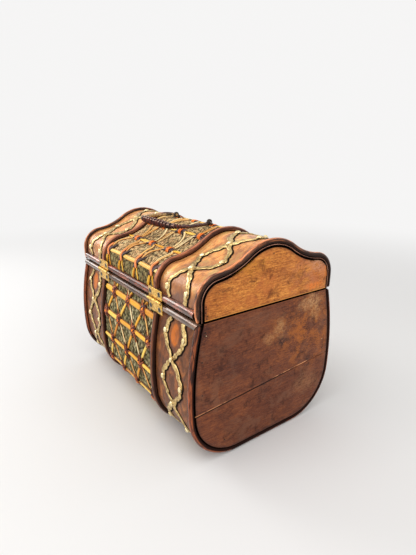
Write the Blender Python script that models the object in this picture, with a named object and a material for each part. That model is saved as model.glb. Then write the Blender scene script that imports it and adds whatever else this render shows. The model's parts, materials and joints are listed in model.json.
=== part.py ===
"""Dome top chest: a wooden body and lid with camel-back ends, cane trims, a cane lattice and a swing handle.

Frame: origin on the floor below the middle of the chest, +X along its length, +Y towards the hinges, +Z up.
Pieces that follow the end view are laid out flat as (x, along, inset) and then wrapped round a profile:
"along" runs round the end view from its centre line and grows towards +Y, "inset" is the depth below
the outermost line of the end view.
"""

import math

import bmesh
import bpy
import numpy as np
from mathutils import Matrix, Vector

MM = 0.001
SMOOTH_ANGLE = math.radians(35)
TINY = 1e-7                 # two places closer than this are one

# Clearances
TOUCH_GAP = 0.3 * MM        # between pieces that touch
BORE_GAP = 0.3 * MM         # round a pin in its bore
CHORD_DIP = 0.20 * MM       # how far a straight piece may dip towards the layer below

# Overall sizes
LENGTH = 300 * MM           # over the end boards
BODY_HEIGHT = 160 * MM      # floor to the body's rim
LID_RISE = 69 * MM          # lid rim to the top of the crown

# End view of the body: a flared side, a round bottom corner and a flat bottom
MOUTH_HALF = 92 * MM
SIDE_RADIUS = 307 * MM
SIDE_FLARE = math.radians(15.4)
CORNER_RADIUS = 60.7 * MM

# End view of the lid: an upright lip, a shoulder, a cove and a crown
LID_OVERHANG = 2 * MM       # lid beyond the body at the mouth
LIP_HEIGHT = 17.4 * MM
SHOULDER_RADIUS = 27.6 * MM
COVE_RADIUS = 82.7 * MM
CROWN_RADIUS = 57 * MM

# Boards and panels
BOARD_THICK = 6 * MM
SHELL_THICK = 3.5 * MM
PANEL_THICK = 1.0 * MM
LATTICE_THICK = 1.2 * MM
PANEL_INSET = 3.9 * MM      # outer face of the panels
JOINT_HEIGHT = 69 * MM      # joint of the two end planks, on the centre line
JOINT_SLOPE = -0.0736

# Cane
TRIM_RADIUS = 3.0 * MM      # bent cane round each end
RIB_RADIUS = 4.0 * MM       # half-round bands
RIB_INSET = 2.8 * MM        # centre of a band
RIB_X = 72 * MM
RAIL_RADIUS = 4.2 * MM      # mouldings along the seam
RAIL_PROUD = 0.5 * MM       # mouldings beyond the end view's outermost line
LID_RAIL_RISE = 2.3 * MM    # lid rim to the lower edge of its moulding

# Lattice of split cane over the middle panel
SLAT_WIDTH = 5.5 * MM
BRACE_WIDTH = 3.8 * MM
SLAT_STUB = 7.7 * MM        # outermost crossing to the panel's edge
BODY_ROWS = 5
BODY_ROW_STEP = 34.3 * MM
BODY_TOP_GAP = 11.4 * MM    # moulding to the first row
LID_ROWS = 7
LID_END_GAP = 19.5 * MM     # moulding to the first row

# Brass straps in crossing waves over the end panels
STRAP_WIDTH = 5 * MM
STRAP_THICK = 1.1 * MM
STRAP_LAP = 0.3 * MM        # how far one strap stands above the other where they cross
STRAP_SWING = 17.5 * MM     # centre of the zone to a strap's centre line at its widest
STRAP_PERIOD = 52 * MM
STRAP_STATIONS = 8          # to a period
BODY_STRAP_GAP = 16.4 * MM  # moulding to the first widest place
BODY_STRAP_LENGTH = 159 * MM

# Butt hinges
LEAF_LENGTH = 29 * MM
LEAF_HEIGHT = 11.0 * MM
LEAF_THICK = 0.8 * MM
SEAT_DEPTH = 1.0 * MM       # planed off the mouldings for the leaves
SEAT_MARGIN = 1.2 * MM      # planed flat beyond a leaf's ends
KNUCKLE_RADIUS = 1.9 * MM
KNUCKLES = 3
KNUCKLE_ROLL = math.radians(285)
KNUCKLE_STEPS = 12
PIN_STAND_OUT = 7 * MM      # pin beyond the barrel, on its inner end
PIN_CHAMFER = 0.3 * MM

# Swing handle
EAR_X = 38.5 * MM
EAR_STAND = 3.4 * MM        # foot of an ear to the handle's axis
EAR_THICK = 2.4 * MM
EAR_RADIUS = 3.7 * MM
EAR_FOOT_HALF = 5.5 * MM
EAR_TOE_THICK = 0.9 * MM
EAR_NECK = 2.2 * MM         # foot to where the round of the eye starts
TRUNNION_RADIUS = 1.6 * MM
TRUNNION_LENGTH = 4.0 * MM
ELBOW_RADIUS = 3.2 * MM
ARM_LEAN = math.radians(62)
ARM_BEND_RADIUS = 59.5 * MM
GRIP_CORNER_RADIUS = 22 * MM
ARM_RADIUS = 2.2 * MM
GRIP_RADIUS = 2.3 * MM
GRIP_SWELL = 0.6 * MM
TURNS = 24
TURN_STATIONS = 14
WINDING_RADIUS = 1.15 * MM
WINDING_START = 0.29        # share of the handle's length
WINDING_END = 0.745
TRUNNION_SHARE = 0.045      # share of the handle's length that stays thin at each end

# Front catch: a hook on the body and a stud on the lid
HOOK_THICK = 1.6 * MM
HOOK_EYE_RADIUS = 3.3 * MM
HOOK_BAR_HALF = 1.1 * MM
HOOK_JAW_WIDTH = 1.4 * MM
HOOK_TIP = math.radians(40)      # past the stud's far side
HOOK_THROAT = math.radians(150)  # where the jaw meets the bar again
STUD_RADIUS = 1.3 * MM
STUD_HEAD_RADIUS = 2.9 * MM
STUD_HEAD_THICK = 1.4 * MM
STUD_HEAD_ROUND = 0.6 * MM

LID_HALF = MOUTH_HALF + LID_OVERHANG
RAIL_REACH = LID_HALF + RAIL_PROUD
SEAT_Y = RAIL_REACH - SEAT_DEPTH
RIM_BODY = BODY_HEIGHT
RIM_LID = BODY_HEIGHT + TOUCH_GAP
HALF_LENGTH = LENGTH / 2
INNER_X = HALF_LENGTH - BOARD_THICK - TOUCH_GAP
SHELL_INSET = PANEL_INSET + PANEL_THICK + TOUCH_GAP
LAYER_INSET = PANEL_INSET - TOUCH_GAP
RIB_BACK_INSET = SHELL_INSET - TOUCH_GAP
BOARD_INSET = 2 * TRIM_RADIUS + TOUCH_GAP
PANEL_EDGE_X = RIB_X - RIB_RADIUS - TOUCH_GAP
NODE_SPACING = (2 * PANEL_EDGE_X - 2 * SLAT_STUB) / 3
ZONE_X = (RIB_X + RIB_RADIUS + TOUCH_GAP + INNER_X) / 2
ZONE_HALF = INNER_X - ZONE_X
HINGE_Z = (RIM_BODY + RIM_LID + LID_RAIL_RISE) / 2
HINGE_Y = SEAT_Y + TOUCH_GAP + KNUCKLE_RADIUS
PIN_RADIUS = KNUCKLE_RADIUS - LEAF_THICK - BORE_GAP
BODY_RAIL_Z = RIM_BODY - RAIL_RADIUS
LID_RAIL_Z = RIM_LID + LID_RAIL_RISE + RAIL_RADIUS
RAIL_Y = RAIL_REACH - RAIL_RADIUS
LEAF_START = KNUCKLE_RADIUS + TOUCH_GAP
LEAF_REACH = LEAF_START + LEAF_HEIGHT
EAR_FOOT_Z = RIM_LID + LID_RISE - LAYER_INSET + LATTICE_THICK + TOUCH_GAP
HANDLE_AXIS_HEIGHT = EAR_FOOT_Z + EAR_STAND


class Arc:
    """A round run of an end view. A hollow one curves away from the inside of the chest."""

    def __init__(self, centre, radius, start, end, steps, hollow=False):
        self.centre = centre
        self.radius = radius
        self.start = start
        self.end = end
        self.steps = steps
        self.side = -1 if hollow else 1

    def reach(self, inset):
        return self.radius - self.side * inset

    def length(self, inset):
        return abs(self.end - self.start) * self.reach(inset)

    def point(self, share, inset):
        angle = self.start + share * (self.end - self.start)
        reach = self.reach(inset)
        return self.centre[0] + reach * math.cos(angle), self.centre[1] + reach * math.sin(angle)

    def share_at(self, height, inset):
        angle = math.asin((height - self.centre[1]) / self.reach(inset))
        return (angle - self.start) / (self.end - self.start)


class Line:
    """A straight run of an end view, with the direction that leads inwards from it."""

    def __init__(self, start, end, inward, steps=1):
        self.start = start
        self.end = end
        self.inward = inward
        self.steps = steps
        self.radius = math.inf

    def length(self, inset):
        return math.dist(self.start, self.end)

    def point(self, share, inset):
        y = self.start[0] + share * (self.end[0] - self.start[0]) + inset * self.inward[0]
        z = self.start[1] + share * (self.end[1] - self.start[1]) + inset * self.inward[1]
        return y, z

    def share_at(self, height, inset):
        return (height - self.start[1]) / (self.end[1] - self.start[1])


class Profile:
    """Runs from the centre line to the rim, mirrored about the centre line."""

    def __init__(self, runs, rim):
        self.runs = runs
        self.rim = rim
        self.lengths = [run.length(PANEL_INSET) for run in runs]
        self.half = sum(self.lengths)

    def place(self, along, inset):
        """The (y, z) of a place. At the rim every inset ends level."""
        left = abs(along)
        side = -1 if along < 0 else 1
        if left > self.half - 1e-6:
            run = self.runs[-1]
            y, z = run.point(run.share_at(self.rim, inset), inset)
            return side * y, z
        for run, length in zip(self.runs, self.lengths):
            if left <= length:
                break
            left -= length
        y, z = run.point(left / length, inset)
        return side * y, z

    def along_at(self, height, inset=PANEL_INSET):
        """How far along the last run reaches this height at this inset, on the +Y side."""
        run = self.runs[-1]
        share = run.share_at(height, inset)
        return self.half - self.lengths[-1] * (1 - share)

    def longest_chord(self, start, end):
        """The longest straight piece between two places that stays clear of the layer below."""
        low, high = sorted((abs(start), abs(end)))
        least = math.inf
        reached = 0.0
        for run, length in zip(self.runs, self.lengths):
            if reached < high and low < reached + length:
                least = min(least, run.radius)
            reached += length
        return math.sqrt(8 * least * CHORD_DIP)

    def stations(self, start, end):
        """Places along the profile that keep its curves round, with start and end."""
        marks = [0.0]
        for run, length in zip(self.runs, self.lengths):
            first = marks[-1]
            marks += [first + length * (i + 1) / run.steps for i in range(run.steps)]
        marks = sorted({-mark for mark in marks} | set(marks))
        margin = 2 * MM
        inner = [mark for mark in marks if start + margin < mark < end - margin]
        return [start] + inner + [end]


def body_profile():
    side_centre = (
        MOUTH_HALF - SIDE_RADIUS * math.cos(SIDE_FLARE),
        BODY_HEIGHT - SIDE_RADIUS * math.sin(SIDE_FLARE),
    )
    spread = SIDE_RADIUS - CORNER_RADIUS
    drop = math.asin((side_centre[1] - CORNER_RADIUS) / spread)
    corner_centre = (
        side_centre[0] + spread * math.cos(drop),
        side_centre[1] - spread * math.sin(drop),
    )
    rim_angle = math.asin((RIM_BODY - side_centre[1]) / (SIDE_RADIUS - PANEL_INSET))
    return Profile(
        [
            Line((0, 0), (corner_centre[0], 0), (0, 1)),
            Arc(corner_centre, CORNER_RADIUS, -math.pi / 2, -drop, 8),
            Arc(side_centre, SIDE_RADIUS, -drop, rim_angle, 5),
        ],
        RIM_BODY,
    )


def lid_profile():
    """The cove is tangent to the shoulder and to the crown, so its centre follows from their radii."""
    lip_top = RIM_LID + LIP_HEIGHT
    shoulder = Vector((LID_HALF - SHOULDER_RADIUS, lip_top))
    crown = Vector((0, RIM_LID + LID_RISE - CROWN_RADIUS))
    from_shoulder = SHOULDER_RADIUS + COVE_RADIUS
    from_crown = CROWN_RADIUS + COVE_RADIUS
    gap = shoulder - crown
    foot = (from_crown**2 - from_shoulder**2 + gap.length**2) / (2 * gap.length)
    height = math.sqrt(from_crown**2 - foot**2)
    across = gap.normalized()
    cove = crown + across * foot + Vector((-across.y, across.x)) * height
    crown_end = math.atan2(cove.y - crown.y, cove.x - crown.x)
    shoulder_start = math.atan2(cove.y - shoulder.y, cove.x - shoulder.x)
    return Profile(
        [
            Arc(crown, CROWN_RADIUS, math.pi / 2, crown_end, 5),
            Arc(cove, COVE_RADIUS, crown_end - math.pi, shoulder_start - math.pi, 3, hollow=True),
            Arc(shoulder, SHOULDER_RADIUS, shoulder_start, 0, 6),
            Line((LID_HALF, lip_top), (LID_HALF, RIM_LID), (-1, 0)),
        ],
        RIM_LID,
    )


BODY = body_profile()
LID = lid_profile()


def clear_scene():
    for block in list(bpy.data.objects):
        bpy.data.objects.remove(block, do_unlink=True)


def make_material(name, colour, roughness, metallic=0.0):
    made = bpy.data.materials.new(name)
    made.use_nodes = True
    shader = made.node_tree.nodes["Principled BSDF"]
    shader.inputs["Base Color"].default_value = (*colour, 1.0)
    shader.inputs["Roughness"].default_value = roughness
    shader.inputs["Metallic"].default_value = metallic
    return made


def make_object(name, mesh_maker, material, origin=(0, 0, 0)):
    """Turns a bmesh, in world coordinates, into an object whose origin is at the given place."""
    bmesh.ops.recalc_face_normals(mesh_maker, faces=mesh_maker.faces)
    if mesh_maker.calc_volume(signed=True) < 0:
        bmesh.ops.reverse_faces(mesh_maker, faces=mesh_maker.faces)
    mesh = bpy.data.meshes.new(name)
    bmesh.ops.translate(mesh_maker, verts=mesh_maker.verts, vec=-Vector(origin))
    mesh_maker.to_mesh(mesh)
    mesh_maker.free()
    mesh.shade_smooth()
    mesh.set_sharp_from_angle(angle=SMOOTH_ANGLE)
    mesh.materials.append(material)
    made = bpy.data.objects.new(name, mesh)
    bpy.context.scene.collection.objects.link(made)
    made.location = origin
    return made


def loft(rings):
    """A closed solid through rings of points, with a flat cap at each end."""
    made = bmesh.new()
    rows = [[made.verts.new(point) for point in ring] for ring in rings]
    for low, high in zip(rows, rows[1:]):
        for i in range(len(low)):
            j = (i + 1) % len(low)
            made.faces.new((low[i], low[j], high[j], high[i]))
    made.faces.new(rows[0])
    made.faces.new(rows[-1])
    return made


def extruded(outline, start, end):
    """A (y, z) outline made solid between two x places."""
    return loft([[(x, y, z) for y, z in outline] for x in (start, end)])


def wrap(flat, profile, floor=None):
    """Bends a flat layout of (x, along, inset) round a profile. Nothing goes below the floor."""
    for vert in flat.verts:
        y, z = profile.place(vert.co.y, vert.co.z)
        vert.co = (vert.co.x, y, z if floor is None else max(z, floor))
    return flat


def banded(profile, section, start, end, floor=None):
    """A constant (x, inset) section carried along a profile."""
    rings = [[(x, along, inset) for x, inset in section] for along in profile.stations(start, end)]
    return wrap(loft(rings), profile, floor)


def box_section(x_start, x_end, inset, thick):
    return [(x_start, inset), (x_end, inset), (x_end, inset + thick), (x_start, inset + thick)]


def circle_points(centre, radius, count, start=0.0, turn=math.tau):
    """Points on a circle, or on part of one with both of its ends."""
    steps = count if turn == math.tau else count - 1
    angles = [start + turn * i / steps for i in range(count)]
    return [(centre[0] + radius * math.cos(a), centre[1] + radius * math.sin(a)) for a in angles]


def turned(steps_out, axis_start, axis, sides=16):
    """A solid of revolution from (distance along the axis, radius) steps."""
    axis = Vector(axis).normalized()
    across = axis.orthogonal().normalized()
    other = axis.cross(across)
    rings = []
    for distance, radius in steps_out:
        centre = Vector(axis_start) + axis * distance
        rings.append([centre + across * u + other * v for u, v in circle_points((0, 0), radius, sides)])
    return loft(rings)


def end_board(profile, x_start, x_end):
    """A board with the outline of the end view, under the cane trim."""
    outline = [profile.place(along, BOARD_INSET) for along in profile.stations(-profile.half, profile.half)]
    return extruded(outline, x_start, x_end)


def sawn(board, x, lean, keep_upper):
    """Keeps the part of an end board on one side of the slanted plank joint."""
    side = 1 if keep_upper else -1
    normal = Vector((0, -lean, 1)).normalized() * side
    seat = Vector((x, 0, JOINT_HEIGHT)) + normal * TOUCH_GAP / 2
    everything = board.verts[:] + board.edges[:] + board.faces[:]
    bmesh.ops.bisect_plane(board, geom=everything, plane_co=seat, plane_no=normal, clear_inner=True)
    bmesh.ops.holes_fill(board, edges=[edge for edge in board.edges if edge.is_boundary])
    return board


def make_shells(woods):
    """The bent walls of the body and the lid, open at the rims."""
    for name, profile in (("body_shell", BODY), ("lid_shell", LID)):
        section = box_section(-INNER_X, INNER_X, SHELL_INSET, SHELL_THICK)
        solid = banded(profile, section, -profile.half, profile.half)
        make_object(name, solid, woods["shell"])


def make_ends(woods):
    """Two planks close each end of the body and one board closes each end of the lid."""
    for side, word in ((-1, "near"), (1, "far")):
        outer = side * HALF_LENGTH
        inner = side * (HALF_LENGTH - BOARD_THICK)
        for keep_upper, part in ((True, "upper"), (False, "lower")):
            plank = sawn(end_board(BODY, outer, inner), outer, -side * JOINT_SLOPE, keep_upper)
            make_object(f"body_end_plank_{part}_{word}", plank, woods["plank"])
        make_object(f"lid_end_board_{word}", end_board(LID, outer, inner), woods["lid_board"])


def rib_section(side):
    """A round band with a flat back: its top has an edge in the middle, so that it can be ground flat."""
    depth = RIB_BACK_INSET - RIB_INSET
    sweep = math.pi / 2 + math.asin(depth / RIB_RADIUS)
    centre = (side * RIB_X, -RIB_INSET)
    points = circle_points(centre, RIB_RADIUS, 8, math.pi / 2 - sweep, 2 * sweep)
    return [(x, -down) for x, down in points]


def make_canes(canes):
    """Round trims in the end corners, and half-round bands beside the middle panel."""
    proud = RIB_INSET - RIB_RADIUS
    trim_end = BODY.along_at(BODY_RAIL_Z - RAIL_RADIUS - TOUCH_GAP, 0.0)
    under_body_rail = BODY.along_at(BODY_RAIL_Z - RAIL_RADIUS - TOUCH_GAP, proud)
    over_lid_rail = LID.along_at(LID_RAIL_Z + RAIL_RADIUS + TOUCH_GAP)
    under_leaf = BODY.along_at(HINGE_Z - LEAF_REACH - TOUCH_GAP, proud)
    over_leaf = LID.along_at(HINGE_Z + LEAF_REACH + TOUCH_GAP)
    for side, word in ((-1, "near"), (1, "far")):
        centre = (side * (HALF_LENGTH - TRIM_RADIUS), TRIM_RADIUS)
        ring = circle_points(centre, TRIM_RADIUS, 8)
        body_trim = banded(BODY, ring, -trim_end, trim_end)
        make_object(f"body_edge_trim_{word}", body_trim, canes["trim"])
        make_object(f"lid_edge_trim_{word}", banded(LID, ring, -LID.half, LID.half), canes["trim"])
        body_rib = banded(BODY, rib_section(side), -under_body_rail, under_leaf, floor=0.0)
        make_object(f"body_rib_{word}", body_rib, canes["rib"])
        lid_rib = banded(LID, rib_section(side), -over_lid_rail, over_leaf)
        make_object(f"lid_rib_{word}", lid_rib, canes["rib"])


def make_panels(skins):
    """Thin panels on the shells: woven grass in the middle and hide veneer towards the ends."""
    for part, profile, rail_edge in (
        ("body", BODY, BODY_RAIL_Z - RAIL_RADIUS - TOUCH_GAP),
        ("lid", LID, LID_RAIL_Z + RAIL_RADIUS + TOUCH_GAP),
    ):
        end = profile.along_at(rail_edge)
        middle = box_section(-PANEL_EDGE_X, PANEL_EDGE_X, PANEL_INSET, PANEL_THICK)
        make_object(f"{part}_grass_panel", banded(profile, middle, -end, end), skins["grass"])
        for side, word in ((-1, "near"), (1, "far")):
            centre = side * ZONE_X
            strip = box_section(centre - ZONE_HALF, centre + ZONE_HALF, PANEL_INSET, PANEL_THICK)
            solid = banded(profile, strip, -end, end)
            make_object(f"{part}_veneer_{word}", solid, skins[f"{part}_veneer"])


def rail_section(profile, height):
    """A round moulding cut flat where it lies against the shell."""
    along = profile.along_at(height)
    wall = Vector(profile.place(along, SHELL_INSET - TOUCH_GAP))
    outward = (Vector(profile.place(along, 0.0)) - wall).normalized()
    depth = (Vector((RAIL_Y, height)) - wall).dot(outward)
    sweep = math.acos(-depth / RAIL_RADIUS)
    facing = math.atan2(outward.y, outward.x)
    return circle_points((RAIL_Y, height), RAIL_RADIUS, 11, facing - sweep, 2 * sweep)


def leaf_seat_cutter(name):
    """Planes both mouldings flat behind a pair of leaves."""
    half_length = LEAF_LENGTH / 2 + SEAT_MARGIN
    outline = [
        (SEAT_Y, BODY_RAIL_Z - 2 * RAIL_RADIUS),
        (SEAT_Y + 3 * RAIL_RADIUS, BODY_RAIL_Z - 2 * RAIL_RADIUS),
        (SEAT_Y + 3 * RAIL_RADIUS, LID_RAIL_Z + 2 * RAIL_RADIUS),
        (SEAT_Y, LID_RAIL_Z + 2 * RAIL_RADIUS),
    ]
    side = -1 if name.endswith("near") else 1
    centre = side * RIB_X
    cutter = make_object(name, extruded(outline, centre - half_length, centre + half_length), None)
    cutter.hide_render = True
    cutter.display_type = "WIRE"
    return cutter


def make_rails(canes):
    """Mouldings along both sides of the seam. The body's run over its end trims, with mitred ends."""
    cutters = [leaf_seat_cutter(f"leaf_seat_{word}") for word in ("near", "far")]
    for part, profile, height in (("body", BODY, BODY_RAIL_Z), ("lid", LID, LID_RAIL_Z)):
        section = rail_section(profile, height)
        back = min(y for y, z in section)
        for facing, word in ((1, "back"), (-1, "front")):
            rings = []
            for side in (-1, 1):
                reach = [HALF_LENGTH - (y - back) if part == "body" else INNER_X for y, z in section]
                rings.append([(side * x, facing * y, z) for x, (y, z) in zip(reach, section)])
            rail = make_object(f"{part}_rail_{word}", loft(rings), canes["rail"])
            if word == "back":
                for cutter in cutters:
                    cut = rail.modifiers.new(cutter.name, "BOOLEAN")
                    cut.operation = "DIFFERENCE"
                    cut.object = cutter


def lattice_mesh(links, places):
    """Strips between places in a plane, joined into one flat sheet. links holds each strip's width.

    Each place gets a polygon whose corners are where the edges of neighbouring strips meet.
    """
    made = bmesh.new()
    corners = {}
    for here in places:
        spokes = []
        for (start, end), width in links.items():
            if here in (start, end):
                other = end if here == start else start
                reach = Vector(places[other]) - Vector(places[here])
                spokes.append((math.atan2(reach.y, reach.x), width, other))
        spokes.sort()
        count = len(spokes)
        ring = []
        for i, (angle, width, other) in enumerate(spokes):
            next_angle, next_width, next_other = spokes[(i + 1) % count]
            opening = (next_angle - angle) % math.tau
            ahead = Vector((math.cos(angle), math.sin(angle)))
            left = Vector((-ahead.y, ahead.x))
            slack = width / 2
            if count == 1:
                if abs(ahead.y) > abs(ahead.x):
                    left = Vector((-1 / ahead.y, 0))
                ring.append(Vector(places[here]) + left * slack)
                ring.append(Vector(places[here]) - left * slack)
                continue
            if abs(opening - math.pi) < 0.05:
                ring.append(Vector(places[here]) + left * slack)
                continue
            run = (next_width / 2 + slack * math.cos(opening)) / math.sin(opening)
            ring.append(Vector(places[here]) + left * slack + ahead * run)
        corner_verts = [made.verts.new((point.x, point.y, 0)) for point in ring]
        for i, (angle, width, other) in enumerate(spokes):
            left_corner = corner_verts[i]
            right_corner = corner_verts[1] if count == 1 else corner_verts[i - 1]
            corners[here, other] = (right_corner, left_corner)
        if count > 2:
            made.faces.new(corner_verts)
    return made, corners


def strip_faces(made, corners, links, places, pieces_of):
    """Fills each strip between its two ends, in as many pieces as its bend needs."""
    for start, end in links:
        right, left = corners[start, end]
        far_left, far_right = corners[end, start]
        count = pieces_of(places[start], places[end])
        rows = [(right, left)]
        for i in range(1, count):
            share = i / count
            low = made.verts.new(right.co.lerp(far_right.co, share))
            high = made.verts.new(left.co.lerp(far_left.co, share))
            rows.append((low, high))
        rows.append((far_right, far_left))
        for (a, b), (c, d) in zip(rows, rows[1:]):
            made.faces.new((a, c, d, b))


def lattice(profile, rows, edge_rows, end_along):
    """Level slats with crossing braces between them, laid out as (x, along) and wrapped.

    rows holds (along, whether a crossing is on the centre line). edge_rows are the rows that reach
    on to end_along with short braces.
    """
    places = {}
    links = {}
    crossings = []
    row_step = rows[1][0] - rows[0][0]
    for i, (along, centred) in enumerate(rows):
        line = [(i, x) for x in ([-1, 0, 1] if centred else [-1.5, -0.5, 0.5, 1.5])]
        for name in line:
            places[name] = (name[1] * NODE_SPACING, along)
        places[i, "start"] = (-PANEL_EDGE_X, along)
        places[i, "end"] = (PANEL_EDGE_X, along)
        chain = [(i, "start")] + line + [(i, "end")]
        for pair in zip(chain, chain[1:]):
            links[pair] = SLAT_WIDTH
        crossings.append(line)
    for low, high in zip(crossings, crossings[1:]):
        for a in low:
            for b in high:
                if abs(a[1] - b[1]) == 0.5:
                    links[a, b] = BRACE_WIDTH
    for i, end in zip(edge_rows, end_along):
        along = rows[i][0]
        lean = NODE_SPACING / 2 * abs((end - along) / row_step)
        for name in crossings[i]:
            for side in (-1, 1):
                tip_x = places[name][0] + side * lean
                if abs(tip_x) > PANEL_EDGE_X - BRACE_WIDTH:
                    continue
                tip = (*name, "tip", side)
                places[tip] = (tip_x, end)
                links[name, tip] = BRACE_WIDTH
    made, corners = lattice_mesh(links, places)

    def pieces_of(start, end):
        chord = profile.longest_chord(start[1], end[1])
        return max(1, math.ceil(abs(end[1] - start[1]) / chord))

    strip_faces(made, corners, links, places, pieces_of)
    sheet = bmesh.ops.extrude_face_region(made, geom=made.faces[:], use_keep_orig=True)
    for item in sheet["geom"]:
        if isinstance(item, bmesh.types.BMVert):
            item.co.z = -LATTICE_THICK
    bmesh.ops.translate(made, verts=made.verts, vec=(0, 0, LAYER_INSET))
    return wrap(made, profile)


def make_lattices(canes):
    rail_edge = BODY.along_at(BODY_RAIL_Z - RAIL_RADIUS - TOUCH_GAP, LAYER_INSET - LATTICE_THICK)
    lid_edge = LID.along_at(LID_RAIL_Z + RAIL_RADIUS + TOUCH_GAP)
    for side, word in ((1, "back"), (-1, "front")):
        top = rail_edge - BODY_TOP_GAP
        rows = [(side * (top - i * BODY_ROW_STEP), i % 2 == 0) for i in range(BODY_ROWS)]
        solid = lattice(BODY, rows, [0], [side * rail_edge])
        make_object(f"body_lattice_{word}", solid, canes["lattice"])
    half_rows = LID_ROWS // 2
    step = (lid_edge - LID_END_GAP) / half_rows
    rows = [(i * step, i % 2 == 0) for i in range(-half_rows, half_rows + 1)]
    solid = lattice(LID, rows, [0, -1], [-lid_edge, lid_edge])
    make_object("lid_lattice", solid, canes["lattice"])


def strap_rings(centre, stations, phase_along, sign, inset, thick):
    """One strap's rings: its centre line swings as a cosine and its width stays square to that line."""
    rings = []
    for along in stations:
        angle = math.pi * (along - phase_along) / STRAP_PERIOD
        x = centre + sign * STRAP_SWING * math.cos(angle)
        slope = STRAP_SWING * math.pi / STRAP_PERIOD * math.sin(angle)
        half = STRAP_WIDTH / 2 * math.sqrt(1 + slope * slope)
        section = box_section(x - half, x + half, inset, thick)
        rings.append([(u, along, depth) for u, depth in section])
    return rings


def make_strap(name, profile, centre, start, end, phase_along, brass):
    """Two straps that cross at each narrow place, one lapped over the other and brazed to it."""
    count = math.ceil((end - start) * STRAP_STATIONS / STRAP_PERIOD)
    stations = [start + (end - start) * i / count for i in range(count + 1)]
    low_inset = LAYER_INSET - STRAP_THICK
    low = loft(strap_rings(centre, stations, phase_along, 1, low_inset, STRAP_THICK))
    high = loft(strap_rings(centre, stations, phase_along, -1, low_inset - STRAP_LAP, STRAP_THICK))
    over = make_object(f"{name}_over", high, None)
    strap = make_object(name, low, brass)
    join = strap.modifiers.new("over", "BOOLEAN")
    join.operation = "UNION"
    join.object = over
    bpy.context.view_layer.update()
    depsgraph = bpy.context.evaluated_depsgraph_get()
    flat = bmesh.new()
    flat.from_object(strap, depsgraph)
    bpy.data.objects.remove(over, do_unlink=True)
    bpy.data.objects.remove(strap, do_unlink=True)
    make_object(name, wrap(flat, profile), brass)


def make_straps(brass):
    outermost = LAYER_INSET - STRAP_THICK - STRAP_LAP
    body_top = BODY.along_at(BODY_RAIL_Z - RAIL_RADIUS - TOUCH_GAP, outermost)
    lid_end = LID.along_at(LID_RAIL_Z + RAIL_RADIUS + TOUCH_GAP)
    for side, word in ((-1, "near"), (1, "far")):
        centre = side * ZONE_X
        make_strap(f"lid_strap_{word}", LID, centre, -lid_end, lid_end, 0.0, brass)
        tail = body_top - BODY_STRAP_LENGTH
        wide = body_top - BODY_STRAP_GAP
        make_strap(f"body_strap_back_{word}", BODY, centre, tail, body_top, wide, brass)
        make_strap(f"body_strap_front_{word}", BODY, centre, -body_top, -tail, -wide, brass)


def drawn_on(solid, faces, move):
    """Extrudes faces, moves the new ends and returns them."""
    drawn = bmesh.ops.extrude_face_region(solid, geom=faces)
    kept = [face for face in faces if face.is_valid]
    bmesh.ops.delete(solid, geom=kept, context="FACES_ONLY")
    fresh = [item for item in drawn["geom"] if isinstance(item, bmesh.types.BMVert)]
    bmesh.ops.transform(solid, matrix=move, verts=fresh)
    return [item for item in drawn["geom"] if isinstance(item, bmesh.types.BMFace)]


def hinge_leaf(centre_x, upward, own_knuckles):
    """A plate whose own knuckles are drawn on towards the axis and rolled round the pin."""
    edges = [centre_x + LEAF_LENGTH * (i / KNUCKLES - 0.5) for i in range(KNUCKLES + 1)]
    cuts = [edges[0]]
    for edge in edges[1:-1]:
        cuts += [edge - TOUCH_GAP / 2, edge + TOUCH_GAP / 2]
    cuts.append(edges[-1])
    inner = HINGE_Y - KNUCKLE_RADIUS
    outer = inner + LEAF_THICK
    near = HINGE_Z + upward * LEAF_START
    far = HINGE_Z + upward * LEAF_REACH
    rings = [[(x, inner, near), (x, outer, near), (x, outer, far), (x, inner, far)] for x in cuts]
    leaf = loft(rings)
    leaf.faces.ensure_lookup_table()
    for knuckle in own_knuckles:
        low, high = cuts[2 * knuckle], cuts[2 * knuckle + 1]
        foot = {vert for vert in leaf.verts if abs(vert.co.z - near) < TINY}
        own = {vert for vert in foot if low - TINY < vert.co.x < high + TINY}
        faces = [face for face in leaf.faces if own.issuperset(face.verts)]
        faces = drawn_on(leaf, faces, Matrix.Translation((0, 0, HINGE_Z - near)))
        axis = Vector((0, HINGE_Y, HINGE_Z))
        turn = Matrix.Rotation(upward * KNUCKLE_ROLL / KNUCKLE_STEPS, 4, "X")
        roll = Matrix.Translation(axis) @ turn @ Matrix.Translation(-axis)
        for _ in range(KNUCKLE_STEPS):
            faces = drawn_on(leaf, faces, roll)
    return leaf


def make_hinges(brass, steel):
    """Two butt hinges over the mouldings, at the ends of the bands."""
    for side, word in ((-1, "near"), (1, "far")):
        centre_x = side * RIB_X
        origin = (centre_x, HINGE_Y, HINGE_Z)
        body_leaf = hinge_leaf(centre_x, -1, range(0, KNUCKLES, 2))
        make_object(f"body_hinge_leaf_{word}", body_leaf, brass, origin=origin)
        lid_leaf = hinge_leaf(centre_x, 1, range(1, KNUCKLES, 2))
        make_object(f"lid_hinge_leaf_{word}", lid_leaf, brass, origin=origin)
        outer_end = side * (RIB_X + LEAF_LENGTH / 2)
        inner_end = side * (RIB_X - LEAF_LENGTH / 2 - PIN_STAND_OUT)
        length = abs(outer_end - inner_end)
        tip = PIN_RADIUS - PIN_CHAMFER
        steps = [(0, tip), (PIN_CHAMFER, PIN_RADIUS), (length - PIN_CHAMFER, PIN_RADIUS), (length, tip)]
        pin = turned(steps, (outer_end, HINGE_Y, HINGE_Z), (-side, 0, 0), 10)
        make_object(f"hinge_pin_{word}", pin, steel, origin=origin)


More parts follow.
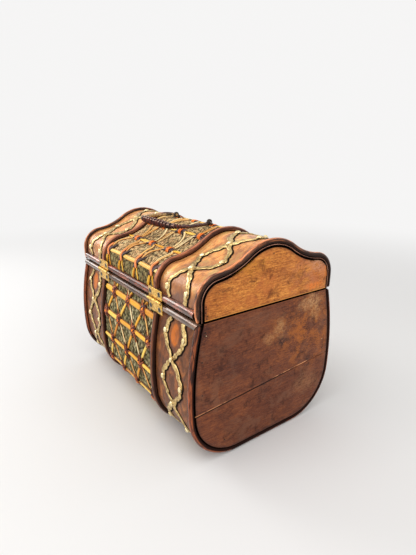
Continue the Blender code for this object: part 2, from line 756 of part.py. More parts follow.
def handle_path(fineness=1):
    """The bail's centre line in its own plane, from one trunnion's inner end to the other's."""
    start_x = EAR_X - EAR_THICK / 2 - TRUNNION_LENGTH / 4
    moves = [
        (TRUNNION_LENGTH, 0, 2),
        (ELBOW_RADIUS * ARM_LEAN, ARM_LEAN, 5),
        (ARM_BEND_RADIUS * (math.pi / 2 - ARM_LEAN), math.pi / 2 - ARM_LEAN, 5),
        (GRIP_CORNER_RADIUS * math.pi / 2, math.pi / 2, 9),
    ]
    points = [Vector((start_x, 0))]
    heading = 0.0
    for length, turn, steps in moves:
        for i in range(steps * fineness):
            bend = turn / (steps * fineness)
            step = length / (steps * fineness)
            chord = step if bend == 0 else 2 * step / bend * math.sin(bend / 2)
            heading += bend / 2
            points.append(points[-1] + chord * Vector((math.cos(heading), math.sin(heading))))
            heading += bend / 2
    half_grip = points[-1].x
    steps = 4 * fineness
    points += [Vector((half_grip * (1 - i / steps), points[-1].y)) for i in range(1, steps + 1)]
    mirrored = [Vector((-point.x, point.y)) for point in reversed(points[:-1])]
    return points + mirrored


def shares_of(points):
    """Each point's share of the length of the line through them."""
    sums = [0.0]
    for a, b in zip(points, points[1:]):
        sums.append(sums[-1] + (b - a).length)
    return [value / sums[-1] for value in sums]


def handle_radius(share):
    """Thin trunnions, cane arms, and a grip that swells towards the middle of its winding."""
    from_end = min(share, 1 - share)
    if from_end < TRUNNION_SHARE:
        return TRUNNION_RADIUS
    if share < WINDING_START or share > WINDING_END:
        return ARM_RADIUS
    place = (share - WINDING_START) / (WINDING_END - WINDING_START)
    return GRIP_RADIUS + GRIP_SWELL * math.sin(math.pi * place)


def make_tube(name, points, radii, resolution, material, parent):
    """A round tube along points given in the parent's frame."""
    curve = bpy.data.curves.new(name, "CURVE")
    curve.dimensions = "3D"
    curve.bevel_depth = 1 * MM
    curve.bevel_resolution = resolution
    curve.use_fill_caps = True
    spline = curve.splines.new("POLY")
    spline.points.add(len(points) - 1)
    for target, point, radius in zip(spline.points, points, radii):
        target.co = (*point, 1)
        target.radius = radius / MM
    spline.use_smooth = True
    curve.materials.append(material)
    made = bpy.data.objects.new(name, curve)
    bpy.context.scene.collection.objects.link(made)
    made.parent = parent
    return made


def winding_points(path):
    """A helix round the grip, with a straight run of one tube diameter at each end."""
    shares = shares_of(path)
    points = []
    total = TURNS * TURN_STATIONS
    for i in range(total + 1):
        share = WINDING_START + (WINDING_END - WINDING_START) * i / total
        j = int(np.searchsorted(shares, share, side="right")) - 1
        local = (share - shares[j]) / (shares[j + 1] - shares[j])
        centre = path[j].lerp(path[j + 1], local)
        ahead = (path[j + 1] - path[j]).normalized()
        across = Vector((-ahead.y, ahead.x, 0))
        lift = Vector((0, 0, 1))
        reach = handle_radius(share) + TOUCH_GAP + WINDING_RADIUS
        angle = math.tau * i / TURN_STATIONS
        turned_out = across * math.cos(angle) + lift * math.sin(angle)
        points.append(Vector((centre.x, centre.y, 0)) + turned_out * reach)
    first = (points[0] - points[1]).normalized() * 2 * WINDING_RADIUS
    last = (points[-1] - points[-2]).normalized() * 2 * WINDING_RADIUS
    return [points[0] + first] + points + [points[-1] + last]


def least_gap(points):
    """The winding's least distance to itself, between points at least half a turn apart."""
    cloud = np.array([tuple(point) for point in points])
    least = math.inf
    for i in range(len(cloud) - TURN_STATIONS // 2):
        away = np.linalg.norm(cloud[i + TURN_STATIONS // 2 :] - cloud[i], axis=1)
        least = min(least, float(away.min()))
    return least - 2 * WINDING_RADIUS


def make_handle(canes):
    """A bent cane bail, wound round its grip, that turns on trunnions in two ears."""
    pivot = bpy.data.objects.new("handle_pivot", None)
    pivot.location = (0, 0, HANDLE_AXIS_HEIGHT)
    bpy.context.scene.collection.objects.link(pivot)
    path = handle_path()
    shares = shares_of(path)
    radii = [handle_radius(share) for share in shares]
    points = [(point.x, point.y, 0) for point in path]
    make_tube("handle_core", points, radii, 2, canes["core"], pivot)
    fine = [Vector((point.x, point.y)) for point in handle_path(3)]
    coil = winding_points(fine)
    make_tube("handle_winding", coil, [WINDING_RADIUS] * len(coil), 1, canes["winding"], pivot)
    print(f"handle winding: {TURNS} turns, least gap to itself {least_gap(coil) / MM:.2f} mm")


def bored(target, name, start, axis, radius, length):
    """Cuts a round hole through an object."""
    made = turned([(0, radius), (length, radius)], start, axis, 20)
    cutter = make_object(name, made, None)
    cutter.hide_render = True
    cutter.display_type = "WIRE"
    cut = target.modifiers.new(name, "BOOLEAN")
    cut.operation = "DIFFERENCE"
    cut.object = cutter


def make_ears(brass):
    """Brass eyes on the crown's slat that carry the handle."""
    toe = EAR_FOOT_Z + EAR_TOE_THICK
    start = -math.asin((EAR_STAND - EAR_NECK) / EAR_RADIUS)
    outline = [(-EAR_FOOT_HALF, EAR_FOOT_Z), (EAR_FOOT_HALF, EAR_FOOT_Z), (EAR_FOOT_HALF, toe)]
    outline += circle_points((0, HANDLE_AXIS_HEIGHT), EAR_RADIUS, 13, start, math.pi - 2 * start)
    outline.append((-EAR_FOOT_HALF, toe))
    for side, word in ((-1, "near"), (1, "far")):
        middle = side * EAR_X
        solid = extruded(outline, middle - EAR_THICK / 2, middle + EAR_THICK / 2)
        ear = make_object(f"handle_ear_{word}", solid, brass)
        bore_start = (middle - EAR_THICK, 0, HANDLE_AXIS_HEIGHT)
        bored(ear, f"ear_bore_{word}", bore_start, (1, 0, 0), TRUNNION_RADIUS + BORE_GAP, 2 * EAR_THICK)


def hook_outline(reach):
    """An eye, a bar and an open jaw round the stud, in the hook's own plane."""
    jaw_inner = STUD_RADIUS + 2 * BORE_GAP
    jaw_outer = jaw_inner + HOOK_JAW_WIDTH
    eye_start = math.asin(HOOK_BAR_HALF / HOOK_EYE_RADIUS)
    eye = circle_points((0, 0), HOOK_EYE_RADIUS, 17, eye_start, math.tau - 2 * eye_start)
    jaw_start = math.pi + math.asin(HOOK_BAR_HALF / jaw_outer)
    tip = math.tau + HOOK_TIP
    outer = circle_points((reach, 0), jaw_outer, 11, jaw_start, tip - jaw_start)
    inner = circle_points((reach, 0), jaw_inner, 11, tip, HOOK_THROAT - tip)
    shoulder = (reach + jaw_outer * math.cos(HOOK_THROAT), jaw_outer * math.sin(HOOK_THROAT))
    return eye + outer + inner + [shoulder]


def make_catch(brass, steel):
    """A hook that turns on a screw in the body's front moulding and closes over a stud on the lid's."""
    face = -(RAIL_REACH + TOUCH_GAP)
    hook_back = face - TOUCH_GAP
    hook_front = hook_back - HOOK_THICK
    for name, height, rail in (
        ("hook_screw", BODY_RAIL_Z, "body"),
        ("hook_stud", LID_RAIL_Z, "lid"),
    ):
        head = -hook_front + TOUCH_GAP + face
        steps = [
            (0, STUD_RADIUS),
            (head, STUD_RADIUS),
            (head, STUD_HEAD_RADIUS),
            (head + STUD_HEAD_THICK - STUD_HEAD_ROUND, STUD_HEAD_RADIUS),
            (head + STUD_HEAD_THICK, STUD_HEAD_RADIUS - 2 * STUD_HEAD_ROUND),
        ]
        solid = turned(steps, (0, face, height), (0, -1, 0), 16)
        make_object(name, solid, steel, origin=(0, face, height))
    reach = LID_RAIL_Z - BODY_RAIL_Z
    pivot = Vector((0, hook_back, BODY_RAIL_Z))
    outline = hook_outline(reach)
    rings = [[(pivot.x + u, y, pivot.z + v) for u, v in outline] for y in (hook_back, hook_front)]
    hook = make_object("catch_hook", loft(rings), brass, origin=pivot)
    bore_start = pivot + Vector((0, HOOK_THICK, 0))
    bored(hook, "hook_bore", bore_start, (0, -1, 0), STUD_RADIUS + BORE_GAP, 3 * HOOK_THICK)


def main():
    clear_scene()
    woods = {
        "shell": make_material("inner_wood", (0.36, 0.21, 0.11), 0.7),
        "plank": make_material("red_brown_plank", (0.20, 0.065, 0.028), 0.5),
        "lid_board": make_material("orange_brown_board", (0.42, 0.16, 0.045), 0.5),
    }
    canes = {
        "trim": make_material("dark_bent_cane", (0.13, 0.045, 0.022), 0.35),
        "rib": make_material("brown_half_cane", (0.12, 0.045, 0.025), 0.4),
        "rail": make_material("grey_brown_moulding", (0.16, 0.085, 0.06), 0.4),
        "lattice": make_material("golden_split_cane", (0.75, 0.40, 0.10), 0.45),
        "core": make_material("black_brown_cane", (0.05, 0.018, 0.012), 0.4),
        "winding": make_material("oxblood_winding", (0.16, 0.035, 0.02), 0.4),
    }
    skins = {
        "grass": make_material("woven_grass", (0.24, 0.22, 0.10), 0.85),
        "body_veneer": make_material("brown_hide", (0.22, 0.10, 0.055), 0.5),
        "lid_veneer": make_material("orange_hide", (0.45, 0.22, 0.12), 0.5),
    }
    brass = make_material("aged_brass", (0.55, 0.40, 0.15), 0.35, 0.9)
    steel = make_material("dull_steel", (0.45, 0.42, 0.36), 0.4, 0.9)
    make_shells(woods)
    make_ends(woods)
    make_canes(canes)
    make_panels(skins)
    make_rails(canes)
    make_lattices(canes)
    make_straps(brass)
    make_hinges(brass, steel)
    make_ears(brass)
    make_handle(canes)
    make_catch(brass, steel)


main()
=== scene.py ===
import json
import math
import random
from bisect import bisect_right

import bmesh
import bpy
from mathutils import Matrix, Vector, noise


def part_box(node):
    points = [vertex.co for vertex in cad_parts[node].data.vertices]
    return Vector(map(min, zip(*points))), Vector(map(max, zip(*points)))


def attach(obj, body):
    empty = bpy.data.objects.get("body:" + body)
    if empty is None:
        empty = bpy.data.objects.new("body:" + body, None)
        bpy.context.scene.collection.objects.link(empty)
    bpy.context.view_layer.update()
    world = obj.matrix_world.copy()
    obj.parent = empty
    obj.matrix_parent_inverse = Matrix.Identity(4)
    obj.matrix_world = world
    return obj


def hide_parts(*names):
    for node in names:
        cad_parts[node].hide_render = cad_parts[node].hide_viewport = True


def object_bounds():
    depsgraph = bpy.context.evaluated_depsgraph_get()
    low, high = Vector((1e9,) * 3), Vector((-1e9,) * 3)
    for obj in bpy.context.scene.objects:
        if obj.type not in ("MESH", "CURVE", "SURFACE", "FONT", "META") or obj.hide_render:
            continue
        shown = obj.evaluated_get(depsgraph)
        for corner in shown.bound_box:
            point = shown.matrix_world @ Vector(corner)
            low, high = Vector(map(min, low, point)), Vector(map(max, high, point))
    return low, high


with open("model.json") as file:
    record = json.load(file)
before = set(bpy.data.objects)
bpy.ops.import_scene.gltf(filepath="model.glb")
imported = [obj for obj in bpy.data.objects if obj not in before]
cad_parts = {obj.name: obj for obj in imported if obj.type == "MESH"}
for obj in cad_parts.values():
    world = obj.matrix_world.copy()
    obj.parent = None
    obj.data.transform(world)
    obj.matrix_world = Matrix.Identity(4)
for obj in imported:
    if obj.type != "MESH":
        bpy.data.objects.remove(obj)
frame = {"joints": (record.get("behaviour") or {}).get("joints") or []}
cad_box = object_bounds()

# Sizes in metres. A flat layout has places (x, along, out): "along" runs round the end view from its
# centre line towards the hinges, and "out" is the height above the panels' outer face.
MM = 0.001
GAP = 0.3 * MM
HALF_LENGTH = cad_box[1].x
PANEL_INSET = 3.9 * MM
BODY_HEIGHT = 160 * MM
MOUTH_HALF = 92 * MM
SIDE_RADIUS = 307 * MM
SIDE_FLARE = math.radians(15.4)
CORNER_RADIUS = 60.7 * MM
RIM_LID = 160.3 * MM
LID_RISE = 69 * MM
LID_HALF = 94 * MM
LIP_HEIGHT = 17.4 * MM
SHOULDER_RADIUS = 27.6 * MM
COVE_RADIUS = 82.7 * MM
CROWN_RADIUS = 57 * MM

RAIL_RADIUS = 4.2 * MM
RAIL_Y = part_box("lid_rail_back")[1].y - RAIL_RADIUS
BODY_RAIL_Z = 155.8 * MM
LID_RAIL_Z = 166.8 * MM
UNDER_RAIL = BODY_RAIL_Z - RAIL_RADIUS - GAP
OVER_RAIL = LID_RAIL_Z + RAIL_RADIUS + GAP
TRIM_RADIUS = 3 * MM
RIB_X = 72 * MM
RIB_RADIUS = 4 * MM
PANEL_EDGE_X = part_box("lid_grass_panel")[1].x
INNER_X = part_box("body_shell")[1].x
ZONE_X = (RIB_X + RIB_RADIUS + GAP + INNER_X) / 2
STRAP_SWING = 17.5 * MM
STRAP_PERIOD = 52 * MM
BODY_STRAP_LENGTH = 159 * MM
NODE_SPACING = 40 * MM
JOINT_HEIGHT = 69 * MM
JOINT_SLOPE = -0.0736
ENDS = ((-1, "near"), (1, "far"))
random.seed(7)


# The end views

def straight(start, end, out):
    """A straight run: its length, and its point and outward normal at a share of it."""
    start, end, out = Vector(start), Vector(end), Vector(out)
    return (end - start).length, lambda share: (start.lerp(end, share), out)


def rounded(centre, radius, first, last, hollow=False):
    """A run round a centre, from a first angle to a last one."""
    side = -1 if hollow else 1

    def at(share):
        angle = first + share * (last - first)
        ray = Vector((math.cos(angle), math.sin(angle)))
        return Vector(centre) + radius * ray, side * ray

    return abs(last - first) * (radius - side * PANEL_INSET), at


class Profile:
    """One end view, mirrored about its centre line, that ends level at its rim."""

    def __init__(self, rim, *runs):
        self.runs = runs
        self.rim = rim
        self.half = sum(length for length, _ in runs)

    def frame_at(self, along):
        left = abs(along)
        for length, at in self.runs:
            if left <= length or at is self.runs[-1][1]:
                return at(left / length)
            left -= length

    def place(self, x, along, out):
        point, normal = self.frame_at(along)
        spot = point + normal * (out - PANEL_INSET)
        if abs(abs(along) - self.half) < 0.001 * MM:
            spot.y = self.rim
        return Vector((x, math.copysign(spot.x, along), spot.y))

    def along_at(self, height, out=0.0):
        """How far along the last run reaches this height."""
        low, high = self.half - self.runs[-1][0], self.half * 1.05
        rising = self.place(0, high, out).z > self.place(0, low, out).z
        for _ in range(40):
            middle = (low + high) / 2
            if (self.place(0, middle, out).z < height) == rising:
                low = middle
            else:
                high = middle
        return low


def body_profile():
    flare = Vector((math.cos(SIDE_FLARE), math.sin(SIDE_FLARE)))
    side = Vector((MOUTH_HALF, BODY_HEIGHT)) - SIDE_RADIUS * flare
    spread = SIDE_RADIUS - CORNER_RADIUS
    drop = math.asin((side.y - CORNER_RADIUS) / spread)
    corner = side + spread * Vector((math.cos(drop), -math.sin(drop)))
    rim = math.asin((BODY_HEIGHT - side.y) / (SIDE_RADIUS - PANEL_INSET))
    return Profile(
        BODY_HEIGHT,
        straight((0, 0), (corner.x, 0), (0, -1)),
        rounded(corner, CORNER_RADIUS, -math.pi / 2, -drop),
        rounded(side, SIDE_RADIUS, -drop, rim),
    )


def lid_profile():
    shoulder = Vector((LID_HALF - SHOULDER_RADIUS, RIM_LID + LIP_HEIGHT))
    crown = Vector((0, RIM_LID + LID_RISE - CROWN_RADIUS))
    from_shoulder = SHOULDER_RADIUS + COVE_RADIUS
    from_crown = CROWN_RADIUS + COVE_RADIUS
    gap = shoulder - crown
    foot = (from_crown**2 - from_shoulder**2 + gap.length**2) / (2 * gap.length)
    across = gap.normalized()
    cove = crown + across * foot + Vector((-across.y, across.x)) * math.sqrt(from_crown**2 - foot**2)
    crown_end = math.atan2(cove.y - crown.y, cove.x - crown.x)
    shoulder_start = math.atan2(cove.y - shoulder.y, cove.x - shoulder.x)
    return Profile(
        RIM_LID,
        rounded(crown, CROWN_RADIUS, math.pi / 2, crown_end),
        rounded(cove, COVE_RADIUS, crown_end - math.pi, shoulder_start - math.pi, hollow=True),
        rounded(shoulder, SHOULDER_RADIUS, shoulder_start, 0),
        straight((LID_HALF, RIM_LID + LIP_HEIGHT), (LID_HALF, RIM_LID), (1, 0)),
    )


BODY = body_profile()
LID = lid_profile()
BODY_TOP = BODY.along_at(UNDER_RAIL)
LID_END = LID.along_at(OVER_RAIL)
PARTS = (("body", BODY, BODY_TOP, "chest"), ("lid", LID, LID_END, "lid"))
# How far along the middle of the body's first diamonds is.
FIRST_DIAMOND = BODY_TOP - 16.4 * MM


# Materials

def add_node(tree, kind, inputs=None, **settings):
    """Adds a shader node, whose inputs are sockets or values to link, or constants."""
    made = tree.nodes.new("ShaderNode" + kind)
    for key, value in settings.items():
        setattr(made, key, value)
    for key, value in (inputs or {}).items():
        value = getattr(value, "socket", value)
        if isinstance(value, bpy.types.NodeSocket):
            tree.links.new(value, made.inputs[key])
        else:
            made.inputs[key].default_value = value
    return made


class Value:
    """A number that a material works out at every place, to be reckoned with like any other."""

    def __init__(self, finish, socket):
        self.finish = finish
        self.socket = socket

    def calc(self, operation, other=0.0):
        return self.finish.calc(operation, self, other)

    def __add__(self, other):
        return self.calc("ADD", other)

    def __sub__(self, other):
        return self.calc("SUBTRACT", other)

    def __rsub__(self, other):
        return self.finish.calc("SUBTRACT", other, self)

    def __mul__(self, other):
        return self.calc("MULTIPLY", other)

    def __truediv__(self, other):
        return self.calc("DIVIDE", other)

    def __abs__(self):
        return self.calc("ABSOLUTE")

    def root(self):
        return self.calc("SQRT")

    def most(self, other):
        return self.calc("MAXIMUM", other)

    def step(self, low, high):
        """0 below low, 1 above high, smooth between them."""
        inputs = {"Value": self, "From Min": low, "From Max": high}
        made = self.finish.node("MapRange", inputs, interpolation_type="SMOOTHSTEP")
        return Value(self.finish, made.outputs[0])

    def fade(self, low, high):
        """1 below low, 0 above high, smooth between them."""
        return 1 - self.step(low, high)


class Finish:
    """A material and short ways to build it. Pattern sizes are in millimetres.

    Its hues are in thousandths of linear light, and each one is laid over the colour so far.
    """

    def __init__(self, name, roughness=0.5, metallic=0.0, coat=0.0, specular=0.35, laid=True):
        self.material = bpy.data.materials.new(name)
        self.material.use_nodes = True
        self.tree = self.material.node_tree
        self.shader = self.tree.nodes["Principled BSDF"]
        for socket, value in (
            ("Roughness", roughness), ("Metallic", metallic), ("Coat Weight", coat),
            ("Specular IOR Level", specular), ("Coat Roughness", 0.22),
        ):
            self.fix(socket, value)
        if laid:
            self.place = self.node("Attribute", attribute_name="laid").outputs["Vector"]
        else:
            self.place = self.node("TexCoord").outputs["Object"]
        self.x, self.y, self.z = self.parts(self.place)

    def node(self, kind, inputs=None, **settings):
        return add_node(self.tree, kind, inputs, **settings)

    def fix(self, socket, value):
        self.shader.inputs[socket].default_value = value

    def link(self, socket, value):
        self.tree.links.new(getattr(value, "socket", value), self.shader.inputs[socket])

    def parts(self, vector):
        return [Value(self, part) for part in self.node("SeparateXYZ", {0: vector}).outputs]

    def calc(self, operation, a, b):
        return Value(self, self.node("Math", {0: a, 1: b}, operation=operation).outputs[0])

    def moved(self, size, seed):
        inputs = {"Vector": self.place, "Location": (seed, seed * 1.7, seed * 2.3)}
        inputs["Scale"] = [1 / (length * MM) for length in size]
        return self.node("Mapping", inputs).outputs[0]

    def noise(self, size, detail=3.0, roughness=0.55, distortion=0.0, seed=0.0):
        inputs = {"Vector": self.moved(size, seed), "Scale": 1.0, "Detail": detail}
        inputs.update({"Roughness": roughness, "Distortion": distortion})
        return Value(self, self.node("TexNoise", inputs).outputs["Fac"])

    def cells(self, size, feature, seed):
        inputs = {"Vector": self.moved(size, seed), "Scale": 1.0}
        return Value(self, self.node("TexVoronoi", inputs, feature=feature).outputs["Distance"])

    def attribute(self, name):
        return Value(self, self.node("Attribute", attribute_name=name).outputs["Fac"])

    def ramp(self, value, stops, hues):
        made = self.node("ValToRGB", {"Fac": value})
        elements = made.color_ramp.elements
        while len(elements) < len(stops):
            elements.new(0.5)
        for element, position, hue in zip(elements, stops, hues):
            element.position = position
            element.color = rgba(hue)
        return made.outputs["Color"]

    def paint(self, colour):
        self.colour = colour
        self.link("Base Color", colour)

    def tint(self, share, hue, blend="MIX"):
        """Lays a hue, or the colour of a socket, over the colour so far."""
        inputs = {0: share, 6: self.colour, 7: hue if isinstance(hue, bpy.types.NodeSocket) else rgba(hue)}
        self.paint(self.node("Mix", inputs, data_type="RGBA", blend_type=blend).outputs[2])

    def bump(self, height, depth):
        made = self.node("Bump", {"Height": height, "Distance": depth * MM, "Strength": 1.0})
        self.link("Normal", made.outputs["Normal"])
        return self


def rgba(hue):
    return (*[part / 1000 for part in hue], 1)


def dimmed(hue, share):
    return [part * share for part in hue]


def far(a, b):
    """The length of a flat vector."""
    return (a * a + b * b).root()


def board_wood(name, hues, patch, patch_place, edge_hue, faded, seam):
    """Worn board: level grain and pores, broad stains, a rubbed patch, scuffs, darker edges and painted shade
    in its gaps.
    """
    dark, _, light = hues
    specular = 0.2
    made = Finish(name, specular=specular, laid=False)
    broad = made.noise((70, 48, 26), 4, 0.6, 0.8, seed=3)
    stains = made.noise((20, 17, 13), 5, 0.66, 0.5, seed=31)
    grain = made.noise((20, 19, 1.5), 5, 0.7, 0.6, seed=5)
    speck = made.noise((4, 3.2, 0.9), 3, 0.7, 0.3, seed=9)
    upright = made.noise((6, 1.4, 10), 3, 0.6, 0.4, seed=14)
    mixed = grain * 0.36 + speck * 0.36 + broad * 0.28
    made.paint(made.ramp(mixed, (0.40, 0.5, 0.60), hues))
    made.tint(made.noise((40, 26, 22), 4, 0.62, 0.6, seed=44).step(0.48, 0.66) * 0.6, faded)
    made.tint((upright * 0.25 + stains).step(0.64, 0.82) * 0.75, dimmed(dark, 0.5))
    worn = made.noise((24, 15, 17), 5, 0.68, 0.4, seed=12) + (speck - 0.5) * 0.5
    made.tint(worn.step(0.40, 0.66) * from_place(made, *patch_place).fade(0.2, 1.5) * 0.85, patch)
    scuffs = made.noise((6, 5, 1.1), 4, 0.7, 1.5, seed=21).step(0.63, 0.72)
    made.tint(scuffs * 0.3, light)
    pores = made.noise((8, 5, 0.5), 2, 0.7, seed=19).step(0.60, 0.70)
    made.tint(pores * 0.55, dimmed(dark, 0.4))
    rim = made.attribute("rim")
    made.tint(((stains - 0.5) * 0.7 + rim).step(0.25, 1.0) * 0.65, edge_hue)
    # A rubbed arris along the seam. Painted shade: black at the outer rim and in the seam, where the gaps lie
    # in shadow.
    from_seam = abs(made.z - seam)
    made.tint(from_seam.fade(1.3 * MM, 2.1 * MM) * 0.8, light)
    black = rim.step(0.84, 0.90).most(from_seam.fade(0.8 * MM, 1.2 * MM))
    made.tint(black, (2, 1.5, 1))
    made.link("Specular IOR Level", (1 - black) * specular)
    made.link("Roughness", stains * 0.4 + 0.30)
    return made.bump(grain * 0.5 - pores * 0.6 - scuffs * 0.2, 0.35)


def from_place(made, y, z, wide, tall):
    """How far a point of an end board is from a place, in shares of a width and a height."""
    return far((made.y - y * MM) / (wide * MM), (made.z - z * MM) / (tall * MM))


def blotted(made, rows):
    """Lays ragged stains or bleached places over a board: y, z, width, height, share and hue of each."""
    ragged = made.noise((7, 6, 5), 5, 0.75, 0.6, seed=61)
    broken = made.noise((7, 4.5, 2.6), 5, 0.75, 0.8, seed=67).step(0.42, 0.58) * 0.85 + 0.15
    for y, z, wide, tall, share, hue in rows:
        ring = ragged * 2.6 + from_place(made, y, z, wide, tall)
        made.tint(ring.fade(1.6, 2.7) * broken * share, hue)
    return made


def plank_wood():
    hues = (80, 20, 9), (165, 46, 19), (275, 81, 26)
    made = board_wood(
        "plank_redbrown", hues, (460, 135, 22), (-62, 118, 60, 48), (50, 16, 10), (195, 78, 40), BODY_HEIGHT
    )
    blotted(made, (
        (-60, 149, 19, 9, 0.9, (540, 280, 120)), (-70, 136, 12, 10, 0.8, (500, 240, 90)),
        (-14, 130, 9, 13, 0.85, (460, 220, 80)), (0, 121, 9, 7, 0.8, (420, 190, 70)),
        (-36, 138, 14, 7, 0.75, (70, 24, 14)), (85, 147, 6, 8, 0.95, (40, 13, 12)),
        (-20, 112, 14, 5, 0.9, (28, 10, 8)), (-63, 78, 4, 6, 0.95, (34, 11, 8)),
        (60, 50, 14, 7, 0.6, (50, 17, 12)), (8, 60, 9, 12, 0.55, (55, 18, 12)),
        (40, 104, 26, 12, 0.5, (60, 20, 16)), (-62, 46, 20, 14, 0.7, (320, 140, 60)),
        (20, 148, 40, 8, 0.5, (200, 85, 45)),
    ))
    # The joint is a dark line, closed towards -Y, under an arris that is rubbed light in two places.
    line = made.y * (made.x.calc("SIGN") * JOINT_SLOPE) + (made.z - JOINT_HEIGHT)
    rubbed = abs(line - 0.95 * MM).fade(0.35 * MM, 0.95 * MM)
    rubbed = rubbed * made.noise((8, 16, 8), 4, 0.7, seed=51).step(0.36, 0.5)
    worn = made.y.step(-66 * MM, -58 * MM) * made.y.fade(-14 * MM, -4 * MM)
    made.tint(rubbed * worn.most(made.y.step(54 * MM, 62 * MM) * 0.8), (760, 320, 130))
    opened = made.y.step(-62 * MM, -10 * MM) * 0.85
    made.tint(abs(line).fade(0.4 * MM, 1.2 * MM) * opened, (6, 4, 3))
    return made


def lid_wood():
    hues = (270, 68, 12), (580, 190, 34), (880, 360, 70)
    made = board_wood(
        "board_orange", hues, (600, 210, 85), (-62, 190, 40, 32), (130, 36, 15), (500, 130, 30), RIM_LID
    )
    return blotted(made, (
        (62, 187, 10, 2.5, 0.85, (100, 30, 10)), (-44, 178, 15, 9, 0.6, (200, 55, 22)),
        (-14, 190, 9, 7, 0.5, (260, 70, 22)), (-64, 168, 14, 4, 0.8, (900, 240, 35)),
        (-68, 192, 14, 9, 0.7, (660, 320, 180)), (-86, 186, 5, 14, 0.8, (850, 220, 30)),
        (30, 204, 20, 8, 0.5, (720, 290, 30)),
    ))


def cane(
    name, dark, middle, light, gloss=0.34, coat=0.0, rub=0.5, specular=0.3, highlight_span=None, side_shade=0.85,
    underside_shade=1.0, moulding=False,
):
    """Lacquered cane: grain along it, growth rings, rubbed places, painted shade low down and on its sides.

    A painted highlight band lies between two shares of turning sideways. The middle of a moulding has lost
    its polish.
    """
    made = Finish(name, roughness=gloss, coat=coat, specular=specular)
    grain = made.noise((1.1, 26, 1.1), 4, 0.6, 0.3, seed=2)
    blotch = made.noise((5, 22, 5), 4, 0.65, 0.6, seed=8)
    made.paint(made.ramp(blotch * 0.5 + grain * 0.5, (0.39, 0.5, 0.62), (dark, middle, light)))
    made.tint(made.noise((3, 14, 3), 5, 0.7, 0.5, seed=17).step(0.56, 0.66) * rub, light)
    rings = made.noise((90, 9, 90), 1, 0.4, seed=30).step(0.70, 0.73)
    made.tint(rings * 0.6, dimmed(dark, 0.3))
    sideways = abs(made.parts(made.node("NewGeometry").outputs["Normal"])[0])
    # Painted highlight: a band of the light hue where the surface turns sideways between the two shares.
    if highlight_span:
        start, end = highlight_span
        band = sideways.step(start - 0.1, start + 0.1) - sideways.step(end - 0.1, end + 0.1)
        made.tint(band * blotch.step(0.38, 0.6), light)
    # Painted shade: darker low in the section, next to the panel, and on the sides that face sideways.
    low = made.z.fade(-0.6 * MM, 1.9 * MM) * underside_shade
    in_shade = (sideways.step(0.55, 0.85) * side_shade).most(low)
    made.tint(in_shade, dimmed(dark, 0.7))
    sheen = (1 - in_shade * 0.9) * specular
    if moulding:
        polish = abs(made.y).step(66 * MM, 96 * MM)
        sheen = sheen * (polish * 0.75 + 0.25)
        made.link("Coat Weight", polish * 0.4)
        made.fix("Coat Roughness", 0.1)
    made.link("Specular IOR Level", sheen)
    made.fix("Specular Tint", rgba((1000, 800, 680)))
    made.link("Roughness", blotch * 0.2 + (gloss - 0.12))
    return made.bump(grain - rings * 0.5, 0.07 if moulding else 0.25)


def reed(name, dark, middle, light, edge, gloss=0.36):
    """Split cane: fibres along it, each strip a little unlike the next, darker along both edges."""
    made = Finish(name, roughness=gloss, specular=0.2)
    grain = made.noise((0.5, 16, 2), 4, 0.6, 0.2, seed=4)
    mixed = grain * 0.55 + made.attribute("tone") * 0.45
    made.paint(made.ramp(mixed, (0.25, 0.5, 0.75), (dark, middle, light)))
    made.tint(made.noise((2.2, 7, 3), 4, 0.7, seed=13).step(0.55, 0.72) * 0.6, dark)
    made.tint(made.attribute("rim").step(0.62, 1.0), edge)
    made.link("Roughness", grain * 0.25 + (gloss - 0.1))
    return made.bump(grain, 0.18)


def grass(name, dark, middle, light, gap, other, low_from=None, low_hue=None):
    """Twisted seagrass blades of two hues, with painted shade in the gaps and hollows between them."""
    made = Finish(name, roughness=0.8, specular=0.15)
    fibre = made.noise((0.9, 6, 2.5), 4, 0.7, 0.9, seed=6)
    patch = made.noise((5, 9, 5), 4, 0.6, seed=11)
    made.paint(made.ramp(fibre * 0.5 + patch * 0.5, (0.39, 0.49, 0.59), (dark, middle, light)))
    made.tint(made.noise((2.4, 12, 6), 3, 0.6, 0.5, seed=23).step(0.46, 0.6) * 0.7, other)
    if low_from:
        # Below the shoulder the blades are greener and darker.
        made.tint(abs(made.y).step(low_from, low_from + 5 * MM), low_hue, "MULTIPLY")
    # Painted shade: darker where the weave lies deep, in the gaps between the blades.
    made.tint(made.attribute("rim").step(0.25, 0.75), gap)
    frayed = made.cells((1.8, 5.0, 4), "F1", seed=3).step(0.50, 0.68)
    made.tint(frayed * 0.7, gap)
    return made.bump(fibre - frayed * 0.5, 0.5)


